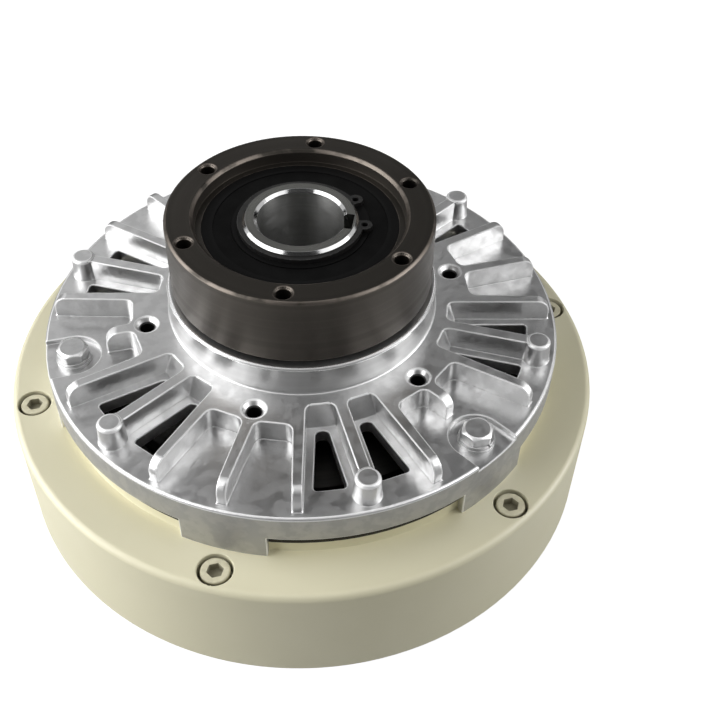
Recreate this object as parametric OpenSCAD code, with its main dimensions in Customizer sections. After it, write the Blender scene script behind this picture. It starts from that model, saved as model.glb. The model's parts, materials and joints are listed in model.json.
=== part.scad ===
// Magnetic powder brake with a hollow shaft, standing on its rear boss.
// The Z axis is the shaft's axis, and the origin is its lowest point.
// Feet, tapped holes and yoke screws lie on the angles 0, 60, 120 and so on,
// and the cooling posts lie halfway between them.

/* [Yoke] */
// Outside diameter of the painted yoke
yoke_od = 219; // [200:1:240]
// Width of both yoke halves together
yoke_w = 45; // [43:1:56]
// Round on the yoke's outer edges
yoke_edge_r = 2.5; // [1:0.5:4]
// Wall of the yoke outside the coil space
yoke_wall = 12.5; // [12:0.25:16]
// Depth of the coil space from its outside inward
coil_space_t = 19; // [14:0.5:20]
// Thickness of the pole legs beside the coil
pole_leg_t = 6; // [5:0.25:8]
// Width of the non-magnetic ring between the poles
pole_spacer_w = 8; // [6:1:12]
// Width of the coil space
coil_space_w = 28; // [24:1:29]
// Wall of the coil former
bobbin_t = 1.5; // [1:0.25:2]
// Height of the raised step that centres a cover
step_h = 8; // [6:0.5:9]
// Radius of the bore for the coil leads
lead_hole_r = 4.5; // [3.5:0.25:4.75]
// Distance of that bore from the middle of the yoke
lead_hole_drop = 7; // [6.5:0.25:7.5]

/* [Yoke screws] */
// Number of screws that hold the yoke halves together
yoke_screw_n = 6; // [6:6:6]
// Thread diameter of the yoke screws
yoke_screw_d = 6; // [5:1:6]
// Length of the yoke screws below the head
yoke_screw_len = 30; // [26:1:32]
// Distance of the yoke screws from the yoke's outside
yoke_screw_inset = 7.85; // [7.25:0.05:8.25]

/* [Covers] */
// Distance of the cover's rim from the yoke's outside
cover_inset = 15.6; // [14.5:0.1:16.5]
// Height of the rim above the yoke's face
rim_h = 20.5; // [19.5:0.25:24]
// Height of the ribs above the rim
rib_h = 8.5; // [6:0.25:10]
// Wall of the boss around the large bearing
boss_wall = 3.3; // [2.8:0.1:5]
// Fillet at the foot of the boss
boss_fillet_r = 0.8; // [0.4:0.1:2]
// Gap between the rim's skirt and the yoke's step
vent_h = 1.7; // [1.2:0.1:2.5]
// Thickness of the cover's floor
floor_t = 5; // [4:0.25:6]
// Thickness of the rim's skirt
skirt_t = 3.5; // [2.5:0.25:4]
// Gap between the lip above the bearing and the flange's neck
boss_lip_gap = 0.8; // [0.5:0.1:1.5]
// Thickness of the lip above the bearing
boss_lip_t = 4; // [3:0.25:5]
// Half of the angle that a foot covers
foot_half_angle = 9.2; // [7.5:0.1:10]
// Wall of a foot outside the yoke's step
foot_wall = 2.9; // [2:0.1:4]
// Distance of a foot's inner end from the step's inner edge
foot_setback = 0.5; // [0.2:0.1:2]

/* [Ribs, pockets and posts] */
// Distance of the window pockets from the boss
window_pocket_gap = 4.9; // [4:0.1:6]
// Distance of the plain pockets from the circle of mounting holes
plain_pocket_gap = 5; // [4:0.1:7]
// Angle between a post and the side rib beside it
side_rib_angle = 14.75; // [14:0.25:15.5]
// Thickness of a rib at its inner end
rib_inner_t = 4.2; // [3.5:0.1:5]
// Thickness of a rib at its outer end
rib_outer_t = 3.3; // [2.5:0.1:4]
// Thickness of the rib that runs to a post
post_rib_t = 4.2; // [3.5:0.1:5]
// Distance from the rim to where the ribs begin to round off
rib_end_inset = 7.9; // [7:0.1:10]
// Round at the outer end of the ribs
rib_round_r = 5; // [4:0.25:6]
// Length of a short rib above a hex bolt, up to its round
short_rib_len = 5; // [4:0.25:6]
// Round of a pocket's inner corners
pocket_corner_r = 3; // [2:0.25:3.25]
// Lean of a window pocket's inner wall
pocket_lean = 3; // [1:0.25:3.5]
// Distance of a window from its pocket's inner end
window_in_gap = 4.6; // [4:0.1:7]
// Distance of a window from the rim
window_out_inset = 11.1; // [10:0.1:14]
// Ledge between a window and the ribs
window_ledge = 3.2; // [2.5:0.1:3.5]
// Round of a window's outer corners
window_corner_r = 1.4; // [1:0.1:1.6]
// Distance of a post's middle from the rim
post_inset = 7.1; // [6.5:0.1:8]
// Radius of a post at its top
post_r = 4.3; // [3.5:0.1:4.5]
// Height of a post above the ribs
post_proud = 0.5; // [0.25:0.25:1.5]

/* [Cover holes] */
// Distance of the tapped mounting holes from the boss
mount_ring_gap = 8.7; // [8.2:0.1:10]
// Thread diameter of the mounting holes
mount_d = 6; // [5:1:6]
// Depth of the mounting holes
mount_depth = 12; // [10:0.5:13]
// Depth of the countersinks of the mounting holes
mount_sink = 1.7; // [0.5:0.1:1.8]
// Distance of the cover bolts from the rim
cover_bolt_inset = 9.9; // [9.4:0.1:10.4]
// Thread diameter of the cover bolts
cover_bolt_d = 6; // [5:1:6]
// Length of the cover bolts below the head
cover_bolt_len = 25; // [23:1:27]
// Radius of the flat spot around a cover bolt
spot_r = 9.5; // [8.5:0.1:9.8]
// Depth of that spot below the rim
spot_depth = 2; // [1:0.25:2.5]

/* [Drive flange] */
// Width of the flange's face around the recess
flange_rim = 10.1; // [9.6:0.1:13]
// Height of the drive flange
flange_h = 26; // [24:0.5:32]
// Running gap between the boss and the flange
flange_gap = 1.7; // [1:0.1:3]
// Width of the ledge between the recess and the shaft bearing
recess_ledge = 2.4; // [2:0.1:3]
// Depth of that recess
recess_depth = 5; // [4:0.25:6]
// Number of tapped holes in the flange
flange_hole_n = 6; // [3:1:8]
// Distance of the tapped holes from the flange's outside
flange_hole_inset = 4.9; // [4.5:0.1:5.5]
// Thread diameter of those holes
flange_hole_d = 6; // [5:1:6]
// Depth of those holes
flange_hole_depth = 14; // [10:0.5:16]
// Depth of their countersinks
flange_hole_sink = 0.8; // [0.4:0.1:1.2]
// Turn of those holes in the position of the photograph
flange_turn = 9; // [0:1:60]
// Wall of the flange's neck
neck_wall = 9; // [8:0.25:10]
// Distance of the screws in the neck from its outside
flange_screw_inset = 4; // [3.5:0.1:4.5]

/* [Drum and end plates] */
// Running gap between the poles and the drum
drum_gap = 0.5; // [0.3:0.05:1]
// Thickness of the drum
drum_t = 10; // [9.5:0.25:12]
// Length that the drum reaches past each face of the yoke
drum_over = 0.5; // [0:0.25:2]
// Width of the drum's non-magnetic ring
drum_isolator_w = 8; // [6:1:12]
// Thickness of the end plates
end_plate_t = 7; // [6.5:0.25:8]
// Thickness of the front end plate near its hub
hub_web_t = 12; // [11:0.5:13]
// Width of the shoulders beside the large bearings
hub_shoulder = 2.2; // [1.8:0.1:2.4]
// Step between the seats of a shaft bearing and a large bearing
seat_step = 1; // [0.5:0.1:2]
// Web between the large bearing and the shaft bearing at the rear
seat_web_t = 1.5; // [1:0.25:4]
// Wall of the rear hub around the shaft bearing
rear_hub_wall = 5; // [4:0.25:5.5]
// Gap between the front end plate and the shaft
plate_bore_gap = 2; // [1:0.25:3]
// Number of screws in each of those circles
inner_screw_n = 6; // [4:1:8]

/* [Shaft and rotor] */
// Bore of the hollow shaft
shaft_bore_d = 30; // [24:1:30]
// Wall of the hollow shaft
shaft_wall = 5; // [5:0.25:7]
// Distance of the shaft's front end below the flange's top
shaft_front_drop = 2; // [1:0.25:2.25]
// Distance of the shaft's rear end above the rear boss's face
shaft_rear_rise = 1.5; // [1:0.25:2.5]
// Width of the keyway in the bore
keyway_w = 8; // [6:1:10]
// Depth of the keyway in the bore
keyway_depth = 3.3; // [2:0.1:3.3]
// Turn of the keyway in the position of the photograph
keyway_turn = -24; // [-180:1:180]
// Gap between the rotor and the drum, where the powder works
rotor_gap = 2; // [1.8:0.1:3]
// Gap between the rotor and an end plate
rotor_end_gap = 3; // [2:0.25:5]
// Thickness of the rotor's rim
rotor_rim_t = 12.5; // [8:0.5:14]
// Thickness of the rotor's hub
rotor_hub_t = 11; // [7:0.5:12]
// Thickness of the web between them
rotor_web_t = 14; // [8:0.5:20]
// Width of the rotor's key
rotor_key_w = 8; // [6:1:10]
// Height of the rotor's key
rotor_key_h = 5; // [4:0.5:5]
// Length of the rotor's key
rotor_key_len = 32; // [24:1:34]
// Gap between the powder ring and an end plate
powder_end_gap = 4; // [2:0.5:8]
// Thickness of the powder ring on the drum
powder_t = 1.6; // [1:0.1:1.6]

/* [Large bearings] */
// Thickness of the large bearings from their bore outward
main_bearing_t = 10; // [8:0.25:12]
// Width of the large bearings
main_w = 10; // [9:0.5:11]
// Number of balls in a large bearing
main_ball_n = 24; // [16:1:28]

/* [Shaft bearings] */
// Thickness of the shaft bearings from their bore outward
shaft_bearing_t = 14; // [12:0.25:16]
// Width of the shaft bearings
shaft_bearing_w = 15; // [14:0.25:15.5]
// Number of balls in a shaft bearing
shaft_ball_n = 12; // [9:1:14]

/* [Rings and seals] */
// Thickness of the circlips on the shaft
circlip_t = 1.75; // [1.5:0.05:2]
// Depth of the circlip grooves in the shaft
circlip_groove = 1.25; // [0.75:0.05:1.35]
// Turn of the circlip's gap in the position of the photograph
circlip_turn = -3; // [-180:1:180]
// Thickness of the internal circlips
retainer_t = 2.5; // [2:0.1:3]
// Width of the powder seals
powder_seal_w = 7; // [6:0.25:7.5]

/* [Fits] */
// Radial clearance of running fits
run_clear = 0.05; // [0.02:0.01:0.1]
// Radial clearance of located parts that do not turn
seat_clear = 0.05; // [0.02:0.01:0.15]
// Clearance around a ball in its raceways
ball_clear = 0.08; // [0.05:0.01:0.1]

/* [Hidden] */
$fn = 96;

// Number of feet, and of posts, around a cover
sector_n = 6;
sector = 360 / sector_n;
// A cutting solid reaches this far past what it cuts
cut = 1;
edge_chamfer = 0.6;
ball_fn = 40;
// Flats on each half of a pocket's rounded corner
corner_steps = 3;

// Heights along the axis, from the rear boss's face upward
// A cover reaches from the yoke's face over all that its boss holds
cover_h = boss_lip_t + main_w + seat_web_t + shaft_bearing_w + retainer_t + powder_seal_w
    + drum_over;
drum_w = yoke_w + 2 * drum_over;
rotor_w = drum_w - 2 * rotor_end_gap;
powder_w = drum_w - 2 * powder_end_gap;
z_mid = cover_h + yoke_w / 2;
z_yoke_front = cover_h + yoke_w;
z_front_boss = z_yoke_front + cover_h;
z_flange = z_front_boss + flange_gap;
z_flange_top = z_flange + flange_h;
z_main_top = z_front_boss - boss_lip_t;
z_main = z_main_top - main_w;
z_shaft_bearing_top = z_flange_top - recess_depth;
z_shaft_bearing = z_shaft_bearing_top - shaft_bearing_w;
z_drum = z_mid - drum_w / 2;
z_drum_top = z_mid + drum_w / 2;
z_neck = z_drum_top + hub_web_t;
z_rear_seal = z_drum - powder_seal_w;
z_rear_retainer = z_rear_seal - retainer_t;
z_rear_bearing = z_rear_retainer - shaft_bearing_w;
z_rear_main = 2 * z_mid - z_main_top;
z_rear_main_top = z_rear_main + main_w;
z_shaft = shaft_rear_rise;
z_shaft_top = z_flange_top - shaft_front_drop;
z_rotor = z_mid - rotor_w / 2;

// Heights of the cover above the yoke's face
rib_top_h = rim_h + rib_h;
floor_under_h = rim_h - floor_t;
skirt_h = step_h + vent_h;

// Radii from the shaft outward
bore_r = shaft_bore_d / 2;
shaft_r = bore_r + shaft_wall;
plate_bore_r = shaft_r + plate_bore_gap;
shaft_bearing_r = shaft_r + shaft_bearing_t;
rear_hub_r = shaft_bearing_r + rear_hub_wall;
recess_r = shaft_bearing_r + recess_ledge;
flange_r = recess_r + flange_rim;
flange_hole_ring_r = flange_r - flange_hole_inset;
main_in_r = shaft_bearing_r + seat_step;
main_out_r = main_in_r + main_bearing_t;
neck_in_r = main_in_r - neck_wall;
flange_screw_r = main_in_r - flange_screw_inset;
hub_r = main_in_r + hub_shoulder;
boss_opening_r = hub_r + boss_lip_gap;
pilot_r = main_out_r + boss_wall;
window_pocket_r = pilot_r + window_pocket_gap;
window_in_r = window_pocket_r + window_in_gap;
mount_ring_r = pilot_r + mount_ring_gap;
plain_pocket_r = mount_ring_r + plain_pocket_gap;
short_rib_end_r = plain_pocket_r + short_rib_len;

// Radii from the yoke's outside inward
yoke_screw_r = yoke_od / 2 - yoke_screw_inset;
coil_space_r = yoke_od / 2 - yoke_wall;
pole_leg_r = coil_space_r - coil_space_t;
pole_r = pole_leg_r - pole_leg_t;
drum_r = pole_r - drum_gap;
drum_in_r = drum_r - drum_t;
drum_screw_r = (drum_r + drum_in_r) / 2;
rotor_r = drum_in_r - rotor_gap;
cover_r = yoke_od / 2 - cover_inset;
cover_in_r = cover_r - skirt_t;
step_r = cover_r - foot_wall;
foot_in_r = pole_leg_r + foot_setback;
cover_bolt_r = cover_r - cover_bolt_inset;
post_ring_r = cover_r - post_inset;
rib_end_r = cover_r - rib_end_inset;
window_out_r = cover_r - window_out_inset;
// The ground between the ribs joins the rim's land within this radius
low_ground_r = cover_r - edge_chamfer - 0.3;

// Screw sizes, and the grooves of the internal circlips
retainer_groove = 1.5;
retainer_ring_w = 4;
socket_across = 5;
socket_head_d = 10;
socket_head_h = 6;
socket_hole_r = 6;
hex_across = 10;
hex_head_h = 3.6;
washer_d = 12.5;
washer_t = 1.2;
spring_washer_d = 11.8;
spring_washer_t = 1.3;
flange_screw_d = 5;
flange_screw_len = 16;
flange_screw_head_d = 8.5;
flange_screw_head_h = 5;
flange_screw_across = 4;
flange_screw_under_t = 6;
drum_screw_d = 5;
drum_screw_len = 14;
drum_screw_head_r = 4.6;
drum_screw_head_h = 2.7;
drum_screw_across = 3;
// Radial clearance around a screw in its through hole
hole_clear = 0.3;
// Depth of a counterbore beyond the head in it
head_room = 0.5;
// Depth of a blind hole beyond the screw in it
drill_room = 2;
// Height of a cover bolt's head above the yoke's face
bolt_seat_h = rim_h - spot_depth + washer_t + spring_washer_t;

// Lead outlet: its angle, and the rim of the bush in its counterbore
lead_angle = 90;
lead_rim_w = 2;
lead_rim_t = 3;
bush_wall = 2;
// Clearance of the coil former in the coil space
coil_clear = 0.2;

// Shares of the height between a bearing's bore and its outside
land_share = 0.27;
cage_share = 0.12;
ball_share = 0.56;
main_ball_d = main_bearing_t * ball_share;
shaft_ball_d = shaft_bearing_t * ball_share;
seal_t = 1;
seal_inset = 0.3;

// Point at radius r and angle a
function polar(r, a) = [r * cos(a), r * sin(a)];
// Angle at radius r of a line that runs beside a rib at the distance d
function beside(r, rib_angle, d) = rib_angle + asin(d / r);
function unit(v) = v / norm(v);
// Points of the round r at corner i of an outline that runs counterclockwise
function round_at(pts, i, r) =
    let (n = len(pts), p = pts[i],
         u = unit(pts[(i + n - 1) % n] - p), v = unit(pts[(i + 1) % n] - p),
         half = acos(u * v) / 2, centre = p + unit(u + v) * r / sin(half),
         middle = atan2(p[1] - centre[1], p[0] - centre[0]))
    [for (k = [-corner_steps : corner_steps])
        centre + polar(r, middle + k * (90 - half) / corner_steps)];

// Copies in a circle around the axis, the first on the angle start
module around(n, start = 0) {
    for (i = [0 : n - 1])
        rotate([0, 0, start + i * 360 / n])
            children();
}

// Convex outline with one radius per corner, where 0 leaves the corner sharp
module rounded_outline(pts, radii) {
    polygon([for (i = [0 : len(pts) - 1])
        each radii[i] == 0 ? [pts[i]] : round_at(pts, i, radii[i])]);
}

module ring(r_out, r_in, z0, z1) {
    rotate_extrude()
        translate([r_in, z0])
            square([r_out - r_in, z1 - z0]);
}

module rod(r, z0, z1) {
    translate([0, 0, z0])
        cylinder(r = r, h = z1 - z0);
}

// Mirror a front part to the same place at the rear
module to_rear() {
    translate([0, 0, 2 * z_mid])
        mirror([0, 0, 1])
            children();
}

// Keep a part as it is for side 1, or turn it over for side -1
module facing(side) {
    if (side > 0)
        children();
    else
        mirror([0, 0, 1])
            children();
}

// Tapped hole with a countersunk mouth on z = 0
module tapped_hole(d, depth, sink) {
    minor_r = d / 2 - 0.5;
    rod(minor_r, -depth, cut);
    translate([0, 0, -sink])
        cylinder(r1 = minor_r, r2 = minor_r + sink + cut, h = sink + cut);
}

// Fasteners, each standing on z = 0 with its thread below

module socket_screw(d, len, head_d, head_h, across) {
    chamfer = 0.4;
    difference() {
        union() {
            rod(head_d / 2, 0, head_h - chamfer);
            translate([0, 0, head_h - chamfer])
                cylinder(r1 = head_d / 2, r2 = head_d / 2 - chamfer, h = chamfer);
            rod(d / 2, -len, 0);
        }
        translate([0, 0, head_h / 2])
            cylinder(r = across / sqrt(3), h = head_h, $fn = 6);
    }
}

module hex_bolt(d, len, across, head_h) {
    turned_r = across * 0.555;
    top_r = across * 0.425;
    chamfer = (turned_r - top_r) * tan(30);
    intersection() {
        cylinder(r = across / sqrt(3), h = head_h, $fn = 6);
        union() {
            rod(turned_r, 0, head_h - chamfer);
            translate([0, 0, head_h - chamfer])
                cylinder(r1 = turned_r, r2 = top_r, h = chamfer);
        }
    }
    rod(d / 2, -len, 0);
}

module countersunk_screw(d, len, head_r, head_h, across) {
    socket_depth = head_h * 0.7;
    difference() {
        union() {
            translate([0, 0, -head_h])
                cylinder(r1 = d / 2, r2 = head_r, h = head_h);
            rod(d / 2, -len, -head_h);
        }
        translate([0, 0, -socket_depth])
            cylinder(r = across / sqrt(3), h = head_h, $fn = 6);
    }
}

module spring_washer(d_out, d_in, t) {
    split_w = 0.6;
    split_lean = 30;
    difference() {
        ring(d_out / 2, d_in / 2, 0, t);
        rotate([split_lean, 0, 0])
            translate([0, -split_w / 2, -2 * cut])
                cube([d_out, split_w, t + 4 * cut]);
    }
}

// Open ring with two lugs that the pliers hold, for a shaft or for a bore
module shaft_circlip(groove_r, t) {
    ring_w = 3;
    lug = 2.6;
    lug_hole = 1.2;
    lug_angle = 19;
    lug_r = groove_r + ring_w + 0.4;
    gap_angle = 2 * lug_angle - 12;
    difference() {
        union() {
            ring(groove_r + ring_w, groove_r, 0, t);
            for (side = [-1, 1])
                rotate([0, 0, side * lug_angle])
                    translate([lug_r, 0, 0])
                        rod(lug, 0, t);
        }
        rod(groove_r, -cut, t + cut);
        rotate([0, 0, -gap_angle / 2])
            rotate_extrude(angle = gap_angle)
                translate([groove_r - cut, -cut])
                    square([ring_w + 2 * lug + 2 * cut, t + 2 * cut]);
        for (side = [-1, 1])
            rotate([0, 0, side * lug_angle])
                translate([lug_r, 0, 0])
                    rod(lug_hole, -cut, t + cut);
    }
}

module bore_circlip(groove_r, ring_w, t) {
    lug = 1.6;
    lug_hole = 0.8;
    lug_angle = 8;
    lug_r = groove_r - ring_w - 0.2;
    difference() {
        union() {
            ring(groove_r, groove_r - ring_w, 0, t);
            for (side = [-1, 1])
                rotate([0, 0, side * lug_angle])
                    translate([lug_r, 0, 0])
                        rod(lug, 0, t);
        }
        rotate([0, 0, -lug_angle / 2])
            rotate_extrude(angle = lug_angle)
                translate([lug_r - lug - cut, -cut])
                    square([ring_w + lug + 3 * cut, t + 2 * cut]);
        for (side = [-1, 1])
            rotate([0, 0, side * lug_angle])
                translate([lug_r, 0, 0])
                    rod(lug_hole, -cut, t + cut);
    }
}

// Deep-groove bearing from z = 0 to z = w, in its separate pieces

function land(in_r, out_r) = (out_r - in_r) * land_share;

module race_groove(in_r, out_r, w, ball_d) {
    translate([(in_r + out_r) / 2, w / 2])
        circle(r = ball_d / 2 + ball_clear, $fn = 64);
}

module outer_race(in_r, out_r, w, ball_d) {
    t = land(in_r, out_r);
    rotate_extrude()
        difference() {
            translate([out_r - t, 0])
                square([t, w]);
            race_groove(in_r, out_r, w, ball_d);
        }
}

module inner_race(in_r, out_r, w, ball_d) {
    t = land(in_r, out_r);
    rotate_extrude()
        difference() {
            translate([in_r, 0])
                square([t, w]);
            race_groove(in_r, out_r, w, ball_d);
        }
}

module balls(in_r, out_r, w, ball_d, n) {
    around(n)
        translate([(in_r + out_r) / 2, 0, w / 2])
            sphere(d = ball_d, $fn = ball_fn);
}

module cage(in_r, out_r, w, ball_d, n) {
    mid_r = (in_r + out_r) / 2;
    t = (out_r - in_r) * cage_share;
    half = ball_d * 0.42;
    back = 0.8;
    difference() {
        ring(mid_r + t, mid_r - t, w / 2 - half, w / 2 + half + back);
        around(n)
            translate([mid_r, 0, w / 2])
                sphere(r = ball_d / 2 + 2 * ball_clear, $fn = ball_fn);
    }
}

module bearing_seals(in_r, out_r, w) {
    t = land(in_r, out_r);
    lip = 0.15;
    for (z = [seal_inset, w - seal_inset - seal_t])
        ring(out_r - t, in_r + t + lip, z, z + seal_t);
}

// Yoke

module yoke_half() {
    corner_x = yoke_od / 2 - yoke_edge_r;
    corner_z = yoke_w / 2 - yoke_edge_r;
    rotate_extrude()
        difference() {
            union() {
                translate([pole_r, 0])
                    square([corner_x - pole_r, yoke_w / 2]);
                translate([corner_x - cut, 0])
                    square([yoke_edge_r + cut, corner_z]);
                translate([corner_x, corner_z])
                    circle(r = yoke_edge_r, $fn = 64);
                translate([pole_leg_r, yoke_w / 2 - cut])
                    square([step_r - pole_leg_r, step_h + cut]);
            }
            translate([pole_leg_r, -cut])
                square([coil_space_r - pole_leg_r, coil_space_w / 2 + cut]);
            translate([pole_r - cut, -cut])
                square([pole_leg_r - pole_r + 2 * cut, pole_spacer_w / 2 + cut]);
        }
}

// Holes of the yoke screws: tapped in one half, with counterbores in the other
module yoke_screw_holes(tapped) {
    head_bottom = yoke_w / 2 - socket_head_h - head_room;
    around(yoke_screw_n)
        translate([yoke_screw_r, 0, 0])
            if (tapped)
                rod(yoke_screw_d / 2, -cut, yoke_screw_len - head_bottom + drill_room);
            else {
                rod(yoke_screw_d / 2 + hole_clear, -cut, yoke_w / 2);
                rod(socket_hole_r, head_bottom, yoke_w / 2 + cut);
            }
}

module cover_bolt_holes_in_yoke() {
    bolt_bottom = yoke_w / 2 + bolt_seat_h - cover_bolt_len;
    around(sector_n / 2, sector)
        translate([cover_bolt_r, 0, 0])
            rod(cover_bolt_d / 2, bolt_bottom - drill_room, yoke_w / 2 + step_h + cut);
}

module yoke_front_half() {
    color([0.86, 0.83, 0.70])
        translate([0, 0, z_mid])
            difference() {
                yoke_half();
                yoke_screw_holes(false);
                cover_bolt_holes_in_yoke();
            }
}

module yoke_rear_half() {
    color([0.86, 0.83, 0.70])
        translate([0, 0, z_mid])
            difference() {
                mirror([0, 0, 1])
                    difference() {
                        yoke_half();
                        yoke_screw_holes(true);
                        cover_bolt_holes_in_yoke();
                    }
                rotate([0, 0, lead_angle])
                    translate([0, 0, -lead_hole_drop])
                        rotate([0, 90, 0]) {
                            rod(lead_hole_r, coil_space_r - cut, yoke_od / 2 + cut);
                            rod(lead_hole_r + lead_rim_w, yoke_od / 2 - lead_rim_t,
                                yoke_od / 2 + cut);
                        }
            }
}

module lead_grommet() {
    rim_r = lead_hole_r + lead_rim_w;
    face = sqrt(pow(yoke_od / 2, 2) - pow(rim_r, 2));
    color([0.10, 0.10, 0.10])
        rotate([0, 0, lead_angle])
            translate([0, 0, z_mid - lead_hole_drop])
                rotate([0, 90, 0])
                    difference() {
                        union() {
                            rod(lead_hole_r, coil_space_r + coil_clear, face);
                            rod(rim_r, yoke_od / 2 - lead_rim_t, face);
                        }
                        rod(lead_hole_r - bush_wall, coil_space_r - cut, face + cut);
                    }
}

module yoke_screws() {
    color([0.84, 0.81, 0.69])
        around(yoke_screw_n)
            translate([yoke_screw_r, 0, z_yoke_front - socket_head_h - head_room])
                socket_screw(yoke_screw_d, yoke_screw_len, socket_head_d,
                             socket_head_h, socket_across);
}

module pole_spacer() {
    color([0.75, 0.62, 0.30])
        ring(pole_leg_r, pole_r, z_mid - pole_spacer_w / 2, z_mid + pole_spacer_w / 2);
}

module coil_bobbin() {
    in_r = pole_leg_r + coil_clear;
    out_r = coil_space_r - coil_clear;
    half = coil_space_w / 2 - coil_clear / 2;
    color([0.20, 0.22, 0.24]) {
        rotate_extrude()
            difference() {
                translate([in_r, z_mid - half])
                    square([out_r - in_r, 2 * half]);
                translate([in_r + bobbin_t, z_mid - half + bobbin_t])
                    square([out_r, 2 * (half - bobbin_t)]);
            }
    }
}

module field_coil() {
    half = coil_space_w / 2 - coil_clear / 2 - bobbin_t;
    out_r = coil_space_r - coil_clear - 1;
    color([0.72, 0.42, 0.20])
        ring(out_r, pole_leg_r + coil_clear + bobbin_t, z_mid - half, z_mid + half);
}

// Covers

// Turned form of a cover, with the ribs still joined into one disc
module cover_blank() {
    round_z = rib_top_h - rib_round_r;
    rotate_extrude()
        difference() {
            union() {
                translate([boss_opening_r, cover_h - boss_lip_t - cut])
                    square([pilot_r - boss_opening_r - edge_chamfer, boss_lip_t + cut]);
                translate([main_out_r, floor_under_h])
                    polygon([
                        [0, 0], [0, cover_h - boss_lip_t - floor_under_h],
                        [pilot_r - main_out_r, cover_h - edge_chamfer - floor_under_h],
                        [pilot_r - main_out_r, 0]]);
                polygon([
                    [boss_opening_r, cover_h - boss_lip_t], [boss_opening_r, cover_h],
                    [pilot_r - edge_chamfer, cover_h], [pilot_r, cover_h - edge_chamfer],
                    [pilot_r, cover_h - boss_lip_t]]);
                translate([pilot_r - cut, floor_under_h])
                    square([rib_end_r - pilot_r + cut, rib_top_h - floor_under_h]);
                translate([pilot_r - cut, rib_top_h - cut])
                    square([boss_fillet_r + cut, boss_fillet_r + cut]);
                translate([rib_end_r, round_z])
                    circle(r = rib_round_r, $fn = 64);
                translate([rib_end_r - cut, floor_under_h])
                    square([rib_round_r + cut, round_z - floor_under_h]);
                polygon([
                    [rib_end_r - cut, floor_under_h], [cover_in_r, floor_under_h],
                    [cover_in_r, skirt_h], [cover_r, skirt_h],
                    [cover_r, rim_h - edge_chamfer], [cover_r - edge_chamfer, rim_h],
                    [rib_end_r - cut, rim_h]]);
                polygon([
                    [foot_in_r, step_h], [step_r + seat_clear, step_h],
                    [step_r + seat_clear, 0], [cover_r, 0], [cover_r, skirt_h + cut],
                    [foot_in_r, floor_under_h + cut]]);
            }
            translate([pilot_r + boss_fillet_r, rib_top_h + boss_fillet_r])
                circle(r = boss_fillet_r, $fn = 32);
        }
}

// Outline of the space between two ribs, from in_r outward past their ends
module pocket_outline(in_r, rib_a, t_a, rib_b, in_t, out_t) {
    rounded_outline([
        polar(in_r, beside(in_r, rib_a, t_a[0] / 2)),
        polar(low_ground_r, beside(low_ground_r, rib_a, t_a[1] / 2)),
        polar(low_ground_r, beside(low_ground_r, rib_b, -out_t / 2)),
        polar(in_r, beside(in_r, rib_b, -in_t / 2))],
        [pocket_corner_r, 0, 0, pocket_corner_r]);
}

// Outline of the space beyond a rib that ends at radius r
module beyond_rib(r) {
    translate([r, -rib_inner_t])
        square([low_ground_r - 0.5 - r, 2 * rib_inner_t]);
}

// Outline of a window, whose inner end is nearly a half circle
module window_outline() {
    in_d = post_rib_t / 2 + window_ledge;
    out_d = rib_outer_t / 2 + window_ledge;
    side_d = rib_inner_t / 2 + window_ledge;
    post_corner = polar(window_in_r, beside(window_in_r, 0, in_d));
    side_corner = polar(window_in_r, beside(window_in_r, side_rib_angle, -side_d));
    in_round_r = norm(side_corner - post_corner) / 2;
    rounded_outline([
        post_corner,
        polar(window_out_r, beside(window_out_r, 0, in_d)),
        polar(window_out_r, beside(window_out_r, side_rib_angle, -out_d)),
        side_corner],
        [in_round_r, window_corner_r, window_corner_r, in_round_r]);
}

// The pockets on one side of a post, and their mirror image on the other side
module both_sides() {
    children();
    mirror([0, 1, 0])
        children();
}

// Outline of all that lies as low as the rim: the pockets, and what is beyond short ribs
module low_ground() {
    around(sector_n, sector / 2) {
        both_sides() {
            pocket_outline(window_pocket_r, 0, [post_rib_t, post_rib_t],
                           side_rib_angle, rib_inner_t, rib_outer_t);
            pocket_outline(plain_pocket_r, side_rib_angle, [rib_inner_t, rib_outer_t],
                           sector / 2, rib_inner_t, rib_outer_t);
        }
        beyond_rib(post_ring_r);
    }
    around(sector_n / 2, sector)
        beyond_rib(short_rib_end_r + rib_round_r);
}

// What is cut between the ribs; the inner walls of the window pockets lean
module pockets() {
    lean_per_mm = pocket_lean / rib_h;
    difference() {
        translate([0, 0, rim_h])
            linear_extrude(height = rib_h + cut)
                low_ground();
        translate([0, 0, rim_h - cut])
            cylinder(r1 = window_pocket_r + pocket_lean + cut * lean_per_mm,
                     r2 = window_pocket_r - cut * lean_per_mm, h = rib_h + 2 * cut);
    }
}

// The corner that is taken off the end of a short rib to round it
module short_rib_round() {
    round_z = rib_top_h - rib_round_r;
    translate([0, rib_inner_t, 0])
        rotate([90, 0, 0])
            linear_extrude(height = 2 * rib_inner_t)
                difference() {
                    translate([short_rib_end_r, round_z])
                        square(rib_round_r + cut);
                    translate([short_rib_end_r, round_z])
                        circle(r = rib_round_r, $fn = 64);
                }
}

module post() {
    flare = 0.5;
    chamfer = 0.7;
    top = rib_top_h + post_proud;
    translate([post_ring_r, 0, 0]) {
        translate([0, 0, rim_h - cut])
            cylinder(r1 = post_r + flare, r2 = post_r, h = top - chamfer - rim_h + cut);
        translate([0, 0, top - chamfer])
            cylinder(r1 = post_r, r2 = post_r - chamfer, h = chamfer);
    }
}

// The open space between two feet
module foot_gap_cut() {
    gap_angle = sector - 2 * foot_half_angle;
    rotate([0, 0, foot_half_angle])
        rotate_extrude(angle = gap_angle)
            polygon([
                [foot_in_r - cut, -cut], [cover_r + cut, -cut], [cover_r + cut, skirt_h],
                [cover_in_r, skirt_h], [cover_in_r, floor_under_h],
                [foot_in_r - cut, floor_under_h]]);
}

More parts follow.
